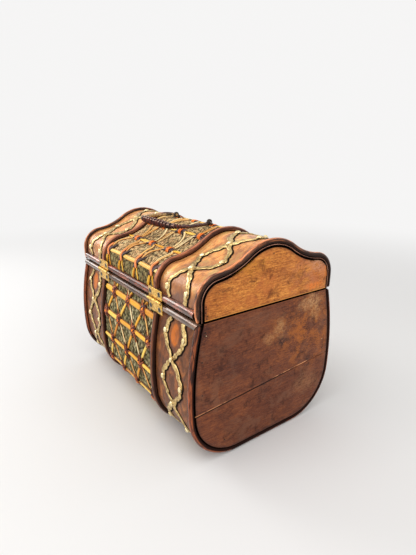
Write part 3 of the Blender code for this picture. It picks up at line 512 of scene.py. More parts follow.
def hide(name, hues, phase, oval_at, oval, brown, coat, low_from):
    """Hide-like veneer: mottled, with painted shade along the straps, and an orange oval in each first
    diamond.
    """
    made = Finish(name, coat=coat, specular=0.1 + coat * 0.8)
    mottle = made.noise((9, 16, 9), 5, 0.62, 0.8, seed=7)
    fine = made.noise((1.2, 3.2, 2), 4, 0.6, 0.4, seed=15)
    made.paint(made.ramp(mottle * 0.75 + fine * 0.25, (0.36, 0.5, 0.66), hues))
    side = abs(made.x) - ZONE_X
    along = abs(made.y)
    ring = far((along - oval_at) / (12 * MM), side / (7.5 * MM)) + (mottle - 0.5) * 0.9
    made.tint(ring.fade(0.78, 1.12), oval)
    # Painted shade: the veneer is darker beside the straps, towards the canes and, from low_from on, towards
    # the rail; broad mottling takes the same brown.
    turn = (along - phase) * (math.pi / STRAP_PERIOD)
    swing = turn.calc("COSINE") * STRAP_SWING
    across = abs(side - swing).calc("MINIMUM", abs(side + swing))
    # The straps lean, so the way straight across to one is longer than the shortest way.
    steep = turn.calc("SINE") * (STRAP_SWING * math.pi / STRAP_PERIOD)
    nearest = across / (steep * steep + 1.0).root() + (fine - 0.5) * (1.5 * MM)
    broad = made.noise((24, 36, 24), 4, 0.6, 0.7, seed=27).step(0.44, 0.64)
    shade = nearest.fade(3.5 * MM, 9 * MM).most(broad).most(abs(side).step(22 * MM, 33 * MM))
    low = ((mottle - 0.5) * (30 * MM) + along).step(low_from, low_from + 16 * MM)
    made.tint(shade * 0.55 + low * 0.5, brown)
    made.fix("Specular Tint", rgba((1000, 780, 560)))
    made.fix("Coat Tint", rgba((1000, 900, 780)))
    made.link("Roughness", fine * 0.3 + 0.2)
    return made.bump(fine + mottle * 0.8, 0.3)


def brass(name, hues, dent_size, dent_depth, roughness, metallic=0.9, laid=True):
    """Old brass, mottled brown in its hollows, with hammered or cast dents."""
    made = Finish(name, metallic=metallic, specular=0.5, laid=laid)
    cloud = made.noise((2.2, 3.4, 2.2), 5, 0.65, 0.5, seed=10)
    fine = made.noise((0.5, 0.7, 0.5), 3, 0.6, seed=14)
    dents = made.cells((dent_size, dent_size * 1.2, dent_size), "SMOOTH_F1", seed=2)
    made.paint(made.ramp(cloud, (0.33, 0.48, 0.64), hues))
    made.tint(fine.step(0.6, 0.72) * 0.5, hues[0])
    made.link("Roughness", cloud * -0.3 + (roughness + 0.15))
    return made.bump(dents + fine * 0.15, dent_depth)


def flecked(name, cloud, stops, hues, fine, **settings):
    """A dark or braided stuff: a cloud of hues, and a fine relief of its own or the cloud's."""
    made = Finish(name, **settings)
    fleck = made.noise(*cloud)
    made.paint(made.ramp(fleck, stops, hues))
    return made.bump(made.noise(fine, 3, 0.6), 0.2) if fine else made.bump(fleck, 0.1)


def arm_cane():
    """The handle's bare cane: dark on the near arm, pale on the far one."""
    made = Finish("arm_cane", roughness=0.26, coat=0.15, laid=False)
    streak = made.noise((7, 3, 1.2), 4, 0.6, 0.5, seed=3)
    stops = (0.35, 0.5, 0.7)
    made.paint(made.ramp(streak, stops, ((12, 6, 5), (60, 16, 10), (200, 60, 30))))
    pale = made.ramp(streak, stops, ((160, 80, 30), (380, 220, 80), (620, 420, 180)))
    made.tint(made.x.step(-30 * MM, 34 * MM), pale)
    return made.bump(streak, 0.3)


FINISHES = {
    "plank": plank_wood(),
    "board": lid_wood(),
    "inner": board_wood(
        "inner_wood", ((240, 130, 65), (380, 230, 120), (500, 320, 180)), (500, 330, 200), (0, 0, 30, 24),
        (150, 80, 40), (450, 280, 160), (BODY_HEIGHT + RIM_LID) / 2,
    ),
    # In the cane finishes, a pair of shares is the span of a painted highlight band, and a number after it
    # the share of painted shade on the sides.
    "trim": cane(
        "trim_cane", (24, 8, 6), (60, 17, 12), (540, 130, 40), 0.30, 0.0, 0.15, 0.4, (0.88, 2), 0.0
    ),
    "trim_lid": cane(
        "trim_lid_cane", (30, 12, 8), (100, 32, 18), (920, 300, 100), 0.28, 0.05, 0.25, 0.6, (-1, 0.5), 0.7
    ),
    "bead": cane(
        "bead_cane", (60, 25, 16), (260, 110, 70), (550, 280, 190), 0.45, side_shade=0.0, underside_shade=0.0
    ),
    # Painted shade: a near-black stick in the groove between a trim and its board.
    "groove": cane("groove_painted_shade", (2, 1.5, 1), (3, 2, 2), (10, 6, 4), 0.9, 0.0, 0.2, 0.0),
    "rib": cane("rib_cane", (24, 8, 5), (70, 20, 10), (240, 70, 26), 0.34, 0.0, 0.4, 0.4, (0.1, 0.5)),
    "rib_lid": cane(
        "rib_lid_cane", (45, 14, 8), (140, 36, 15), (580, 190, 80), 0.30, 0.0, 0.5, 0.4, (0.1, 0.5), 0.7
    ),
    "rail_lid": cane(
        "rail_lid_cane", (22, 10, 8), (75, 24, 15), (580, 140, 60), 0.22, 0.0, 0.6, 1.0, moulding=True
    ),
    "rail_body": cane(
        "rail_body_cane", (28, 16, 11), (80, 46, 31), (340, 170, 100), 0.22, 0.0, 0.5, 1.0, moulding=True
    ),
    "golden": reed("reed_golden", (660, 220, 14), (1000, 520, 38), (1000, 740, 150), (300, 80, 8)),
    "golden_lid": reed("reed_pale", (750, 380, 60), (970, 620, 150), (1000, 800, 340), (450, 160, 30)),
    "pink": reed("reed_pink", (780, 340, 80), (1000, 630, 200), (1000, 880, 520), (420, 150, 40)),
    "tie": reed("tie_redbrown", (50, 14, 10), (230, 50, 22), (660, 190, 55), (20, 7, 5)),
    "tie_bright": reed("tie_orange", (300, 70, 20), (880, 230, 55), (1000, 400, 130), (220, 50, 20)),
    "bundle": reed("bundle_purple", (25, 15, 15), (80, 45, 45), (200, 120, 110), (12, 8, 8)),
    "band": reed("band_orange", (720, 120, 10), (1000, 240, 20), (1000, 360, 50), (650, 90, 8)),
    "grass_body": grass(
        "grass_olive", (70, 50, 20), (330, 250, 100), (880, 760, 460), (8, 5, 2), (250, 250, 120)
    ),
    "grass_lid": grass(
        "grass_tan", (220, 130, 50), (760, 520, 240), (1000, 800, 420), (20, 12, 6), (950, 520, 240),
        95 * MM, (460, 530, 470),
    ),
    "hide_lid": hide(
        "hide_orange", ((400, 130, 40), (930, 385, 105), (1000, 650, 200)), 0.0, 101 * MM, (660, 240, 50),
        (180, 69, 38), 0.3, 93 * MM,
    ),
    "hide_body": hide(
        "hide_brown", ((80, 26, 10), (200, 62, 20), (500, 170, 40)), FIRST_DIAMOND, FIRST_DIAMOND,
        (620, 155, 12), (88, 36, 22), 0.08, 400 * MM,
    ),
    "strap": brass("strap_brass", ((150, 85, 36), (580, 385, 145), (970, 740, 330)), 2.0, 0.30, 0.32, 0.85),
    "tack": brass("tack_brass", ((450, 320, 120), (920, 720, 360), (1000, 920, 620)), 1.5, 0.12, 0.22),
    "leaf": brass(
        "leaf_brass", ((300, 150, 30), (740, 430, 90), (940, 630, 180)), 1.3, 0.12, 0.36, 0.85, False
    ),
    "ear": brass("ear_brass", ((12, 8, 6), (30, 18, 11), (120, 70, 35)), 1.5, 0.2, 0.6, 0.4, False),
    "steel": brass("steel_dark", ((8, 7, 7), (22, 19, 18), (120, 100, 85)), 1.2, 0.1, 0.4, 0.5, False),
    "pin": brass(
        "pin_bright", ((300, 240, 140), (600, 500, 300), (850, 750, 500)), 1.2, 0.1, 0.26, 0.9, False
    ),
    "arm": arm_cane(),
    "line": flecked(
        "strap_line_black", ((1, 3, 1), 3, 0.6), (0.4, 0.7), ((3, 2, 2), (30, 16, 10)), None,
        roughness=0.7, specular=0.05,
    ),
    "winding": flecked(
        "winding_oxblood", ((1.1, 9, 9), 2, 0.5, 0.0, 5), (0.36, 0.5, 0.64),
        ((10, 2.5, 2), (45, 6.5, 3), (190, 30, 8)), (0.4, 2, 2),
        roughness=0.34, coat=0.05, specular=0.2, laid=False,
    ),
    "braid": flecked(
        "braid_pink", ((1.4, 1.4, 1.4), 3, 0.6), (0.36, 0.5, 0.62),
        ((130, 50, 30), (360, 180, 120), (660, 440, 350)), (0.5, 0.5, 0.5), roughness=0.4, laid=False,
    ),
    "knot": flecked(
        "knot_black", ((1.5, 1.5, 1.5), 3, 0.6), (0.4, 0.55, 0.7), ((10, 7, 6), (40, 22, 15), (160, 90, 40)),
        (0.5, 0.5, 0.5), roughness=0.35, specular=0.15, laid=False,
    ),
}


# Modelling helpers

def take(*things):
    """Selects these objects alone, in object mode."""
    if bpy.context.mode != "OBJECT":
        bpy.ops.object.mode_set(mode="OBJECT")
    bpy.ops.object.select_all(action="DESELECT")
    for thing in things:
        thing.select_set(True)
    bpy.context.view_layer.objects.active = things[0]


def fresh(add, **settings):
    """Adds a primitive and returns it, with its place, turn and scale applied."""
    bpy.ops.object.select_all(action="DESELECT")
    add(**settings)
    bpy.ops.object.transform_apply(location=True, rotation=True, scale=True)
    return bpy.context.active_object


def linked(name, data):
    made = bpy.data.objects.new(name, data)
    bpy.context.scene.collection.objects.link(made)
    return made


def pick(thing, kind="FACE", test=lambda *places: True):
    """Goes into edit mode with the vertices, edges or faces selected whose places pass a test."""
    take(thing)
    bpy.ops.object.mode_set(mode="EDIT")
    bpy.ops.mesh.select_mode(type=kind)
    bpy.ops.mesh.select_all(action="DESELECT")
    bpy.ops.object.mode_set(mode="OBJECT")
    mesh = thing.data
    for item in {"VERT": mesh.vertices, "EDGE": mesh.edges, "FACE": mesh.polygons}[kind]:
        places = [item.co] if kind == "VERT" else [mesh.vertices[i].co for i in item.vertices]
        item.select = test(*places)
    bpy.ops.object.mode_set(mode="EDIT")


def cut(thing, spot, normal):
    """Keeps what lies on the side of a plane that its normal points to."""
    pick(thing)
    bpy.ops.mesh.bisect(plane_co=spot, plane_no=Vector(normal).normalized(), use_fill=True, clear_inner=True)
    bpy.ops.object.mode_set(mode="OBJECT")
    return thing


def applied(thing, kind, **settings):
    """Adds a modifier to an object and applies it."""
    take(thing)
    made = thing.modifiers.new(kind.lower(), kind)
    for key, value in settings.items():
        setattr(made, key, value)
    bpy.ops.object.modifier_apply(modifier=made.name)
    return thing


def eased(thing, width, angle=40):
    """Rounds the edges that turn by more than an angle."""
    limit = math.radians(angle)
    return applied(thing, "BEVEL", width=width, segments=2, limit_method="ANGLE", angle_limit=limit)


def carved(thing, size, place):
    """Takes a box of this size away from an object."""
    box = fresh(bpy.ops.mesh.primitive_cube_add, size=1, location=place, scale=size)
    applied(thing, "BOOLEAN", object=box, operation="DIFFERENCE")
    bpy.data.objects.remove(box)


def finished(thing, name, finish, body, slot, replaces=(), angle=35):
    """Names a piece, shades it, gives it its material and puts it on its body."""
    thing.name = name
    thing.data.name = name
    shape = bmesh.new()
    shape.from_mesh(thing.data)
    bmesh.ops.recalc_face_normals(shape, faces=shape.faces)
    shape.to_mesh(thing.data)
    shape.free()
    take(thing)
    bpy.ops.object.shade_smooth_by_angle(angle=math.radians(angle))
    thing.data.materials.clear()
    thing.data.materials.append(FINISHES[finish].material)
    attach(thing, body)
    if replaces:
        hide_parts(*replaces)
    return thing


def joined(things):
    take(*things)
    if len(things) > 1:
        bpy.ops.object.join()
    return things[0]


def put_attributes(thing, laid, rim=None, tone=0.5):
    """Gives each vertex its place in the flat layout, its rim value and its tone. Finishes darken by the rim
    value, in part as painted shade.
    """
    flat = [part for place in laid for part in place]
    thing.data.attributes.new("laid", "FLOAT_VECTOR", "POINT").data.foreach_set("vector", flat)
    for name, values in (("rim", rim or [0.0] * len(laid)), ("tone", [tone] * len(laid))):
        thing.data.attributes.new(name, "FLOAT", "POINT").data.foreach_set("value", values)


BLANKS = {}


def blank_stick(sides, rings):
    """A round stick, 1 long along Y and 1 in radius. Each call gives a copy with its own mesh."""
    if (sides, rings) not in BLANKS:
        stick = fresh(
            bpy.ops.mesh.primitive_cylinder_add, vertices=sides, radius=1, depth=1, location=(0, 0.5, 0),
            rotation=(math.pi / 2, 0, 0),
        )
        first = math.ceil(math.sqrt(rings)) if rings > 60 else rings
        for parts, length in ((first, 0.5), (math.ceil(rings / first), 0.5 / first)):
            if parts > 1:
                pick(stick, "EDGE", lambda a, b: abs(a.y - b.y) > length)
                bpy.ops.mesh.subdivide(number_cuts=parts - 1)
                bpy.ops.object.mode_set(mode="OBJECT")
        BLANKS[sides, rings] = stick.data
        bpy.data.objects.remove(stick)
    return linked("stick", BLANKS[sides, rings].copy())


def at(value, share):
    return value(share) if callable(value) else value


def drawn(path, half_width, height, base=0.0, sides=10, rings=16, under=0.25, tone=None, dents=0.0):
    """Draws a stick out along a flat path of (x, along) places, half_width to each side and height thick.

    The lower half of its section is flattened to the share "under".
    """
    made = blank_stick(sides, rings)
    tone = random.random() if tone is None else tone
    offset = random.uniform(0, 1)
    steps = {}
    length = sum((path((i + 1) / 8) - path(i / 8)).length for i in range(8))
    laid, rim = [], []
    for vert in made.data.vertices:
        share = min(1.0, max(0.0, vert.co.y))
        key = round(share, 5)
        if key not in steps:
            ahead = (path(min(1, share + 0.004)) - path(max(0, share - 0.004))).normalized()
            sizes = [at(value, share) for value in (half_width, height, base)]
            steps[key] = (path(share), Vector((ahead.y, -ahead.x)), *sizes)
        centre, across, half, thick, low = steps[key]
        up = vert.co.z if vert.co.z > 0 else vert.co.z * under
        spot = centre + across * vert.co.x * half
        out = low + up * thick
        if dents and up > 0:
            out += dents * noise.noise(Vector((spot.x, spot.y, offset)) / (2.6 * MM))
        laid.append((vert.co.x * half, share * length + offset, up * thick))
        rim.append(abs(vert.co.x))
        vert.co = (spot.x, spot.y, out)
    put_attributes(made, laid, rim, tone)
    return made


def wrapped(thing, profile, floor=None):
    """Bends a flat layout of (x, along, out) round an end view. Nothing goes below the floor."""
    for vert in thing.data.vertices:
        vert.co = profile.place(*vert.co)
        if floor is not None:
            vert.co.z = max(vert.co.z, floor)
    return thing


def sheet(x_start, x_end, half, columns, pitch, thickness, out=0.0, relief=None):
    """A flat sheet from -half to half along, with its upper face at a height, which may have a relief."""
    rows = round(2 * half / pitch)
    made = fresh(bpy.ops.mesh.primitive_grid_add, x_subdivisions=columns, y_subdivisions=rows, size=1)
    for vert in made.data.vertices:
        vert.co.x = x_start + (vert.co.x + 0.5) * (x_end - x_start)
        vert.co.y = -half + (vert.co.y + 0.5) * 2 * half
    applied(made, "SOLIDIFY", thickness=thickness, offset=-1, use_even_offset=False)
    laid, rim = [], []
    for vert in made.data.vertices:
        laid.append(tuple(vert.co))
        depth = 0.0
        if relief and vert.co.z > -thickness / 2:
            move, depth = relief(vert.co)
            vert.co += move
        vert.co.z += out
        rim.append(depth)
    put_attributes(made, laid, rim)
    return made


def along_path(x, start, end):
    return lambda share: Vector((x, start + share * (end - start)))


# Walls, boards and canes

WALL_THICK = 3.5 * MM
BOARD_INSETS = {"body": 6.2 * MM, "lid": 8.7 * MM}
BOARD_FACE = HALF_LENGTH - 0.2 * MM
BOARD_THICK = 5.8 * MM
BOARD_STATIONS = 110


def make_walls():
    for part, profile, _, body in PARTS:
        wall = sheet(-INNER_X, INNER_X, profile.half, 4, 3 * MM, WALL_THICK, out=-1.3 * MM)
        finished(wrapped(wall, profile), f"{part}_wall", "inner", body, "inner_wood", [f"{part}_shell"])


def end_board(part, profile, side):
    """A board with the outline of the end view, set in from it. Its rim is marked for the darker edges and
    the painted gap shade.
    """
    last = BOARD_STATIONS
    board = fresh(bpy.ops.mesh.primitive_circle_add, vertices=last + 1, fill_type="NGON")
    for i, vert in enumerate(board.data.vertices):
        # The stations beside the corners are far enough from them for the inset below.
        along = (profile.half - 7 * MM) * (2 * (i - 1) / (last - 2) - 1)
        if i in (0, last):
            along = profile.half * (2 * i / last - 1)
        vert.co = profile.place(side * BOARD_FACE, along, PANEL_INSET - BOARD_INSETS[part])
    pick(board)
    bpy.ops.mesh.inset(thickness=6 * MM, depth=0)
    bpy.ops.object.mode_set(mode="OBJECT")
    laid = [tuple(vert.co) for vert in board.data.vertices]
    put_attributes(board, laid, [float(i <= last) for i in range(len(laid))])
    pick(board)
    bpy.ops.mesh.extrude_region_move(TRANSFORM_OT_translate={"value": (-side * BOARD_THICK, 0, 0)})
    bpy.ops.object.mode_set(mode="OBJECT")
    return board


def make_boards():
    """Two planks with a slanted joint at each end of the body, and a board at each end of the lid."""
    for side, word in ENDS:
        for keep, part in ((1, "upper"), (-1, "lower")):
            normal = Vector((0, side * JOINT_SLOPE, 1)).normalized() * keep
            seat = Vector((0, 0, JOINT_HEIGHT)) + normal * 0.2 * MM
            plank = eased(cut(end_board("body", BODY, side), seat, normal), 0.5 * MM, 50)
            node = f"body_end_plank_{part}_{word}"
            finished(plank, f"end_plank_{part}_{word}", "plank", "chest", "red_brown_plank", [node])
        board = eased(end_board("lid", LID, side), 0.5 * MM, 50)
        finished(board, f"end_board_{word}", "board", "lid", "orange_brown_board", [f"lid_end_board_{word}"])


# The (y, z) places of the nails in millimetres, their width, finish and body.
NAILS = {
    "lid_nails": (
        (
            (83.1, 175.4), (83.1, 173.1), (83.3, 169.7), (81.8, 165.9), (82.1, 163.5), (-81, 172),
            (-81, 190), (0, 214),
        ),
        1.9, "knot", "lid",
    ),
    "body_nails": (
        ((84, 150), (88, 120), (-88, 120), (-84, 150), (88, 84), (-88, 84), (60, 20), (-60, 20)),
        1.9, "knot", "chest",
    ),
    "body_bright_nails": (((83.0, 146.3), (-86.5, 96)), 1.4, "pin", "chest"),
}


def make_nails():
    """Small nails near the edges of the end boards, most of them sunk and dark."""
    for side, word in ENDS:
        for name, (places, width, finish, body) in NAILS.items():
            heads = []
            for y, z in places:
                head = dome(width * MM, 0.35 * MM)
                head.data.transform(Matrix.Rotation(side * math.pi / 2, 4, "Y"))
                head.data.transform(Matrix.Translation((side * (BOARD_FACE - 0.16 * MM), y * MM, z * MM)))
                heads.append(head)
            finished(joined(heads), f"{name}_{word}", finish, body, "dull_steel")


# The strips between a trim and its board: name, and depth from the end, half width and height in millimetres.
STRIPS = {
    "body": (("groove", 2.0, 1.0, -2.3),),
    "lid": (("bead", 0.8, 0.4, -2.6), ("groove", 2.8, 2.2, -3.6)),
}


def make_trims():
    """Bent canes round both ends, each with a near-black strip in the groove inside it as painted shade, and
    a bead inside each of the lid's.
    """
    seam = BODY.along_at(BODY_HEIGHT - GAP, PANEL_INSET)
    for side, word in ENDS:
        for part, profile, _, body in PARTS:
            end, finish, thinning = (seam, "trim", 0.0) if part == "body" else (LID.half, "trim_lid", 0.5)

            def radius(share):
                from_end = min(share, 1 - share) * 2 * end
                tip = max(0.12, math.sqrt(1 - max(0.0, 1 - from_end / (1.2 * MM)) ** 2))
                return TRIM_RADIUS * tip * (1 - thinning * max(0.0, 1 - from_end / (11 * MM)) ** 1.5)

            def path(share):
                depth = max(radius(share), TRIM_RADIUS * 0.5)
                return Vector((side * (HALF_LENGTH - depth), (2 * share - 1) * end))

            trim = drawn(path, radius, radius, base=PANEL_INSET - TRIM_RADIUS, sides=20, rings=170, under=1)
            wrapped(trim, profile, floor=0)
            if part == "body":
                cut_under_moulding(trim, side)
            node = f"{part}_edge_trim_{word}"
            finished(trim, f"{part}_trim_{word}", finish, body, "dark_bent_cane", [node])
            # The groove strips are painted shade in the gap between trim and board; the bead is a real cane.
            for name, depth, half, out in STRIPS[part]:
                line = along_path(side * (HALF_LENGTH - depth * MM), -end, end)
                strip = drawn(line, half * MM, half * MM, base=out * MM, sides=10, rings=150, under=1)
                finished(wrapped(strip, profile), f"{part}_{name}_{word}", name, body, "dark_bent_cane")


def moulding_cut(side):
    """The slanted plane of a back moulding's end over the trim: a point on it and its inward normal."""
    return Vector((side * HALF_LENGTH, 0, BODY_HEIGHT)), Vector((-side * 8.4, 0, 5.5)).normalized()


def cut_under_moulding(trim, side):
    spot, normal = moulding_cut(side)
    pick(trim, "VERT", lambda place: place.y > 60 * MM and place.z > 140 * MM)
    bpy.ops.mesh.select_mode(type="FACE")
    bpy.ops.mesh.bisect(plane_co=spot - normal * 0.15 * MM, plane_no=normal, use_fill=True, clear_outer=True)
    bpy.ops.object.mode_set(mode="OBJECT")


def make_ribs():
    """Half-round bands with a flat back. The body's stop under the hinges and are ground flat below."""
    proud = 5.1 * MM
    leaf_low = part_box("body_hinge_leaf_near")[0].z - GAP
    leaf_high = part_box("lid_hinge_leaf_near")[1].z + GAP
    ends = BODY.along_at(UNDER_RAIL, proud), BODY.along_at(leaf_low, proud)
    for side, word in ENDS:
        for part, profile, (front, back), finish, body, floor in (
            ("body", BODY, ends, "rib", "chest", 0.0),
            ("lid", LID, (LID_END, LID.along_at(leaf_high)), "rib_lid", "lid", None),
        ):
            path = along_path(side * RIB_X, -front, back)
            rib = drawn(path, RIB_RADIUS, RIB_RADIUS, base=0.9 * MM, sides=24, rings=150, under=0.5)
            wrapped(rib, profile, floor)
            finished(rib, f"{part}_band_{word}", finish, body, "brown_half_cane", [f"{part}_rib_{word}"])


def make_rails():
    """Half-round mouldings: a turned stick planed flat at the back, and squared or slanted at its ends."""
    leaf_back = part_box("body_hinge_leaf_near")[0].y - GAP
    for (part, profile, _, body), height in zip(PARTS, (BODY_RAIL_Z, LID_RAIL_Z)):
        along = profile.along_at(height)
        back = profile.place(0, along, -1.0 * MM)
        outward = profile.frame_at(along)[1]
        for facing, word in ((1, "back"), (-1, "front")):
            rail = fresh(
                bpy.ops.mesh.primitive_cylinder_add, vertices=40, radius=RAIL_RADIUS, depth=2 * HALF_LENGTH,
                location=(0, facing * RAIL_Y, height), rotation=(0, math.pi / 2, 0),
            )
            cut(rail, (0, facing * back.y, back.z), (0, facing * outward.x, outward.y))
            over_trim = part == "body" and word == "back"
            for side in (-1, 1):
                if over_trim:
                    cut(rail, *moulding_cut(side))
                cut(rail, (side * (HALF_LENGTH if over_trim else INNER_X), 0, 0), (-side, 0, 0))
            if word == "back":
                # The flats that the hinge leaves lie on.
                for side in (-1, 1):
                    carved(rail, (31.4 * MM, 6 * MM, 40 * MM), (side * RIB_X, leaf_back + 3 * MM, RIM_LID))
            pick(rail, "EDGE", lambda a, b: abs(a.x - b.x) > 20 * MM)
            bpy.ops.mesh.subdivide(number_cuts=24)
            bpy.ops.object.mode_set(mode="OBJECT")
            places = [vert.co for vert in rail.data.vertices]
            put_attributes(rail, [(place.z - height, place.x, facing * place.y) for place in places])
            node = f"{part}_rail_{word}"
            finished(rail, f"{part}_moulding_{word}", f"rail_{part}", body, "grey_brown_moulding", [node])


# Skins

BLADE_PITCH = 2.5 * MM
WEAVE_PITCH = 7.0 * MM


def puffed(spot):
    """The soft relief of the veneer. It has no hollows for painted shade."""
    rise = noise.noise(Vector((spot.x, spot.y, 0)) / (11 * MM)) * 0.25 * MM
    return Vector((0, 0, rise - 0.1 * MM)), 0.0


def woven(spot):
    """The relief of upright blades that pass over and under, with gaps between them, and the depth of each
    place, for the painted shade in the hollows.
    """
    across = (spot.x + PANEL_EDGE_X) / BLADE_PITCH
    index = math.floor(across + 1e-4)
    crown = abs(math.sin(math.pi * (across - index)))
    shift = noise.noise(Vector((index * 3.7, 1.5, 0))) * 4
    wave = math.sin(math.tau * spot.y / WEAVE_PITCH + math.pi * index + shift)
    sway = noise.noise(Vector((index * 5.3, spot.y / (9 * MM), 4))) * 0.7 * MM
    ragged = noise.noise(Vector((spot.x / (2 * MM), spot.y / (4 * MM), 9))) * 0.35
    rise = min(1.1, max(0.0, crown**0.7 * (0.75 + 0.3 * wave + ragged)))
    sway *= min(1.0, (PANEL_EDGE_X - abs(spot.x)) / (3 * MM))
    return Vector((sway, 0, (1.25 * rise - 0.85) * MM)), max(0.0, 1 - rise * 1.25)


def make_hides():
    for side, word in ENDS:
        inner, outer = sorted((side * (RIB_X + RIB_RADIUS + GAP), side * INNER_X))
        for (part, profile, end, body), slot in zip(PARTS, ("brown_hide", "orange_hide")):
            skin = wrapped(sheet(inner, outer, end, 24, 2 * MM, 1 * MM, relief=puffed), profile)
            finished(skin, f"{part}_hide_{word}", f"hide_{part}", body, slot, [f"{part}_veneer_{word}"])


def make_grass():
    columns = round(2 * PANEL_EDGE_X / BLADE_PITCH) * 3
    for part, profile, end, body in PARTS:
        skin = sheet(-PANEL_EDGE_X, PANEL_EDGE_X, end, columns, 1.5 * MM, 1 * MM, relief=woven)
        node = f"{part}_grass_panel"
        finished(wrapped(skin, profile), f"{part}_grass_weave", f"grass_{part}", body, "woven_grass", [node])


# Straps and tacks

def strap_strip(centre, start, end, phase, sign):
    """A hammered strip whose edges run in and out, and the black line that shows along one side of it.

    One strip climbs over the other at the crossings.
    """
    wobble = random.uniform(0, 6)

    def turn(share):
        return math.pi * (start + share * (end - start) - phase) / STRAP_PERIOD

    def path(share):
        along = start + share * (end - start)
        stray = noise.noise(Vector((along / (9 * MM), centre * 31, sign * 3))) * MM
        stray += 0.85 * MM * math.sin(math.tau * along / (13.5 * MM) + wobble)
        return Vector((centre + sign * STRAP_SWING * math.cos(turn(share)) + stray, along))

    def half_width(share):
        along = share * (end - start)
        drift = wobble + 2 * noise.noise(Vector((along / (16 * MM), sign, 5)))
        lobes = math.sin(math.tau * along / (6.8 * MM) + drift)
        broad = noise.noise(Vector((along / (22 * MM), wobble, 2)))
        ragged = noise.noise(Vector((along / (3 * MM), wobble, sign)))
        return (3.0 + 0.5 * lobes + 0.5 * ragged + 1.1 * broad) * MM

    def base(share):
        lap = math.exp(-((math.cos(turn(share)) / 0.3) ** 2)) if sign > 0 else 0.0
        return (0.05 + lap) * MM

    def beside(share):
        return path(share) - Vector((1.7 * MM, 0))

    rings = round((end - start) / (1.1 * MM))
    line = drawn(beside, lambda share: half_width(share) + 1.2 * MM, 0.25 * MM, 0.1 * MM, 6, rings)
    return drawn(path, half_width, 1.15 * MM, base, 14, rings, dents=0.55 * MM), line


def dome(width, height):
    """A domed head of a tack or nail, lying flat, with a thin rim."""
    head = fresh(bpy.ops.mesh.primitive_uv_sphere_add, segments=16, ring_count=10, radius=1)
    cut(head, (0, 0, 0.02), (0, 0, 1))
    head.data.transform(Matrix.Diagonal((width / 2, width / 2, height, 1)))
    return head


def make_tacks(places):
    """Domed heads at flat places (x, along, out) with their widths, each a little unlike the next."""
    head = dome(1, 1)
    heads = []
    for x, along, out, width in places:
        tack = linked("tack", head.data.copy())
        wide, tall = width * random.uniform(0.9, 1.05), width * random.uniform(1.15, 1.4)
        lean = Vector((random.uniform(-0.4, 0.4), random.uniform(-0.4, 0.4))) * MM
        for vert in tack.data.vertices:
            spot = vert.co.copy()
            vert.co = (x + lean.x + spot.x * wide, along + lean.y + spot.y * tall, out + spot.z * 2 * MM)
        put_attributes(tack, [tuple(vert.co) for vert in tack.data.vertices])
        heads.append(tack)
    bpy.data.objects.remove(head)
    return joined(heads)


def tack_places(centre, start, end, phase):
    """A tack where the strips cross and one on each strip where they are widest apart, clear of the ends."""
    half = STRAP_PERIOD / 2
    places = []
    for k in range(math.ceil((start - phase) / half), math.floor((end - phase) / half) + 1):
        along = phase + k * half
        if min(along - start, end - along) < 3 * MM:
            continue
        if k % 2:
            places.append((centre, along, 2.1 * MM, 4.6 * MM))
        else:
            places += [(centre + sign * STRAP_SWING, along, 1.2 * MM, 5.4 * MM) for sign in (-1, 1)]
    return places


def make_straps():
    tail = BODY_TOP - BODY_STRAP_LENGTH
    top = BODY_TOP - 0.6 * MM
    for side, word in ENDS:
        for name, profile, start, end, phase, body in (
            (f"lid_strap_{word}", LID, -LID_END, LID_END, 0.0, "lid"),
            (f"body_strap_back_{word}", BODY, tail, top, FIRST_DIAMOND, "chest"),
            (f"body_strap_front_{word}", BODY, -top, -tail, -FIRST_DIAMOND, "chest"),
        ):
            route = side * ZONE_X, start, end, phase
            strips, lines = zip(*[strap_strip(*route, sign) for sign in (-1, 1)])
            finished(wrapped(joined(strips), profile), f"{name}_pair", "strap", body, "aged_brass", [name])
            finished(wrapped(joined(lines), profile), f"{name}_lines", "line", body, "black_brown_cane")
            tacks = make_tacks(tack_places(*route))
            finished(wrapped(tacks, profile), f"{name}_tacks", "tack", body, "aged_brass")


# Lattices. The sizes of their strips are in millimetres.

# How far along each row of crossings is, and where across it they are, in spacings.
BODY_ROWS = (210.5, 178.5, 144.0, 109.0, 74.0)
LID_ROWS = (-95.5, -66.0, -36.5, -6.5, 27.0, 61.0, 95.5)
THREE = (-1, 0, 1)
FOUR = (-1.5, -0.5, 0.5, 1.5)
SLAT_HALVES = (4.0, 3.3, 2.9, 2.9, 2.9)


def curve_path(a, b, c, d):
    """A flat path that leaves a towards b and arrives at d from c."""
    a, b, c, d = Vector(a), Vector(b), Vector(c), Vector(d)

    def path(share):
        left = 1 - share
        return a * left**3 + b * 3 * left * left * share + c * 3 * left * share * share + d * share**3

    return path


def curve_from(node, down, *places):
    """A curved path by four places in millimetres from a crossing, mirrored along it if down is -1."""
    return curve_path(*[(node[0] + x * MM, node[1] + along * down * MM) for x, along in places])


def bowed(a, b, bow=0.0):
    """A nearly straight path that bows sideways."""
    a, b = Vector(a), Vector(b)
    side = Vector((b.y - a.y, a.x - b.x)).normalized()
    return lambda share: a.lerp(b, share) + side * bow * math.sin(math.pi * share)


def tapered(wide, narrow, tip=0.1):
    """A half width that swells in the middle of a strip and closes at both ends."""

    def half_width(share):
        from_end = min(share, 1 - share)
        swell = narrow + (wide - narrow) * math.sin(math.pi * share)
        return swell * max(0.25, math.sqrt(1 - max(0.0, 1 - from_end / tip) ** 2)) * MM

    return half_width


def arch(low, rise, width):
    """A base height that climbs over what lies under the middle of a strand."""
    return lambda share: (low + rise * math.exp(-(((share - 0.5) / width) ** 2))) * MM


def slat(start, end, along, half_width, height):
    """A level strip, convex on top, between two crossings."""
    lean = random.uniform(-0.5, 0.5) * MM
    path = bowed((start, along + lean), (end, along - lean), random.uniform(-0.4, 0.4) * MM)
    width = half_width * random.uniform(0.92, 1.08)
    return drawn(path, tapered(width * 1.04, width * 0.96, 0.09), height * MM, 0.5 * MM, 12, 20)


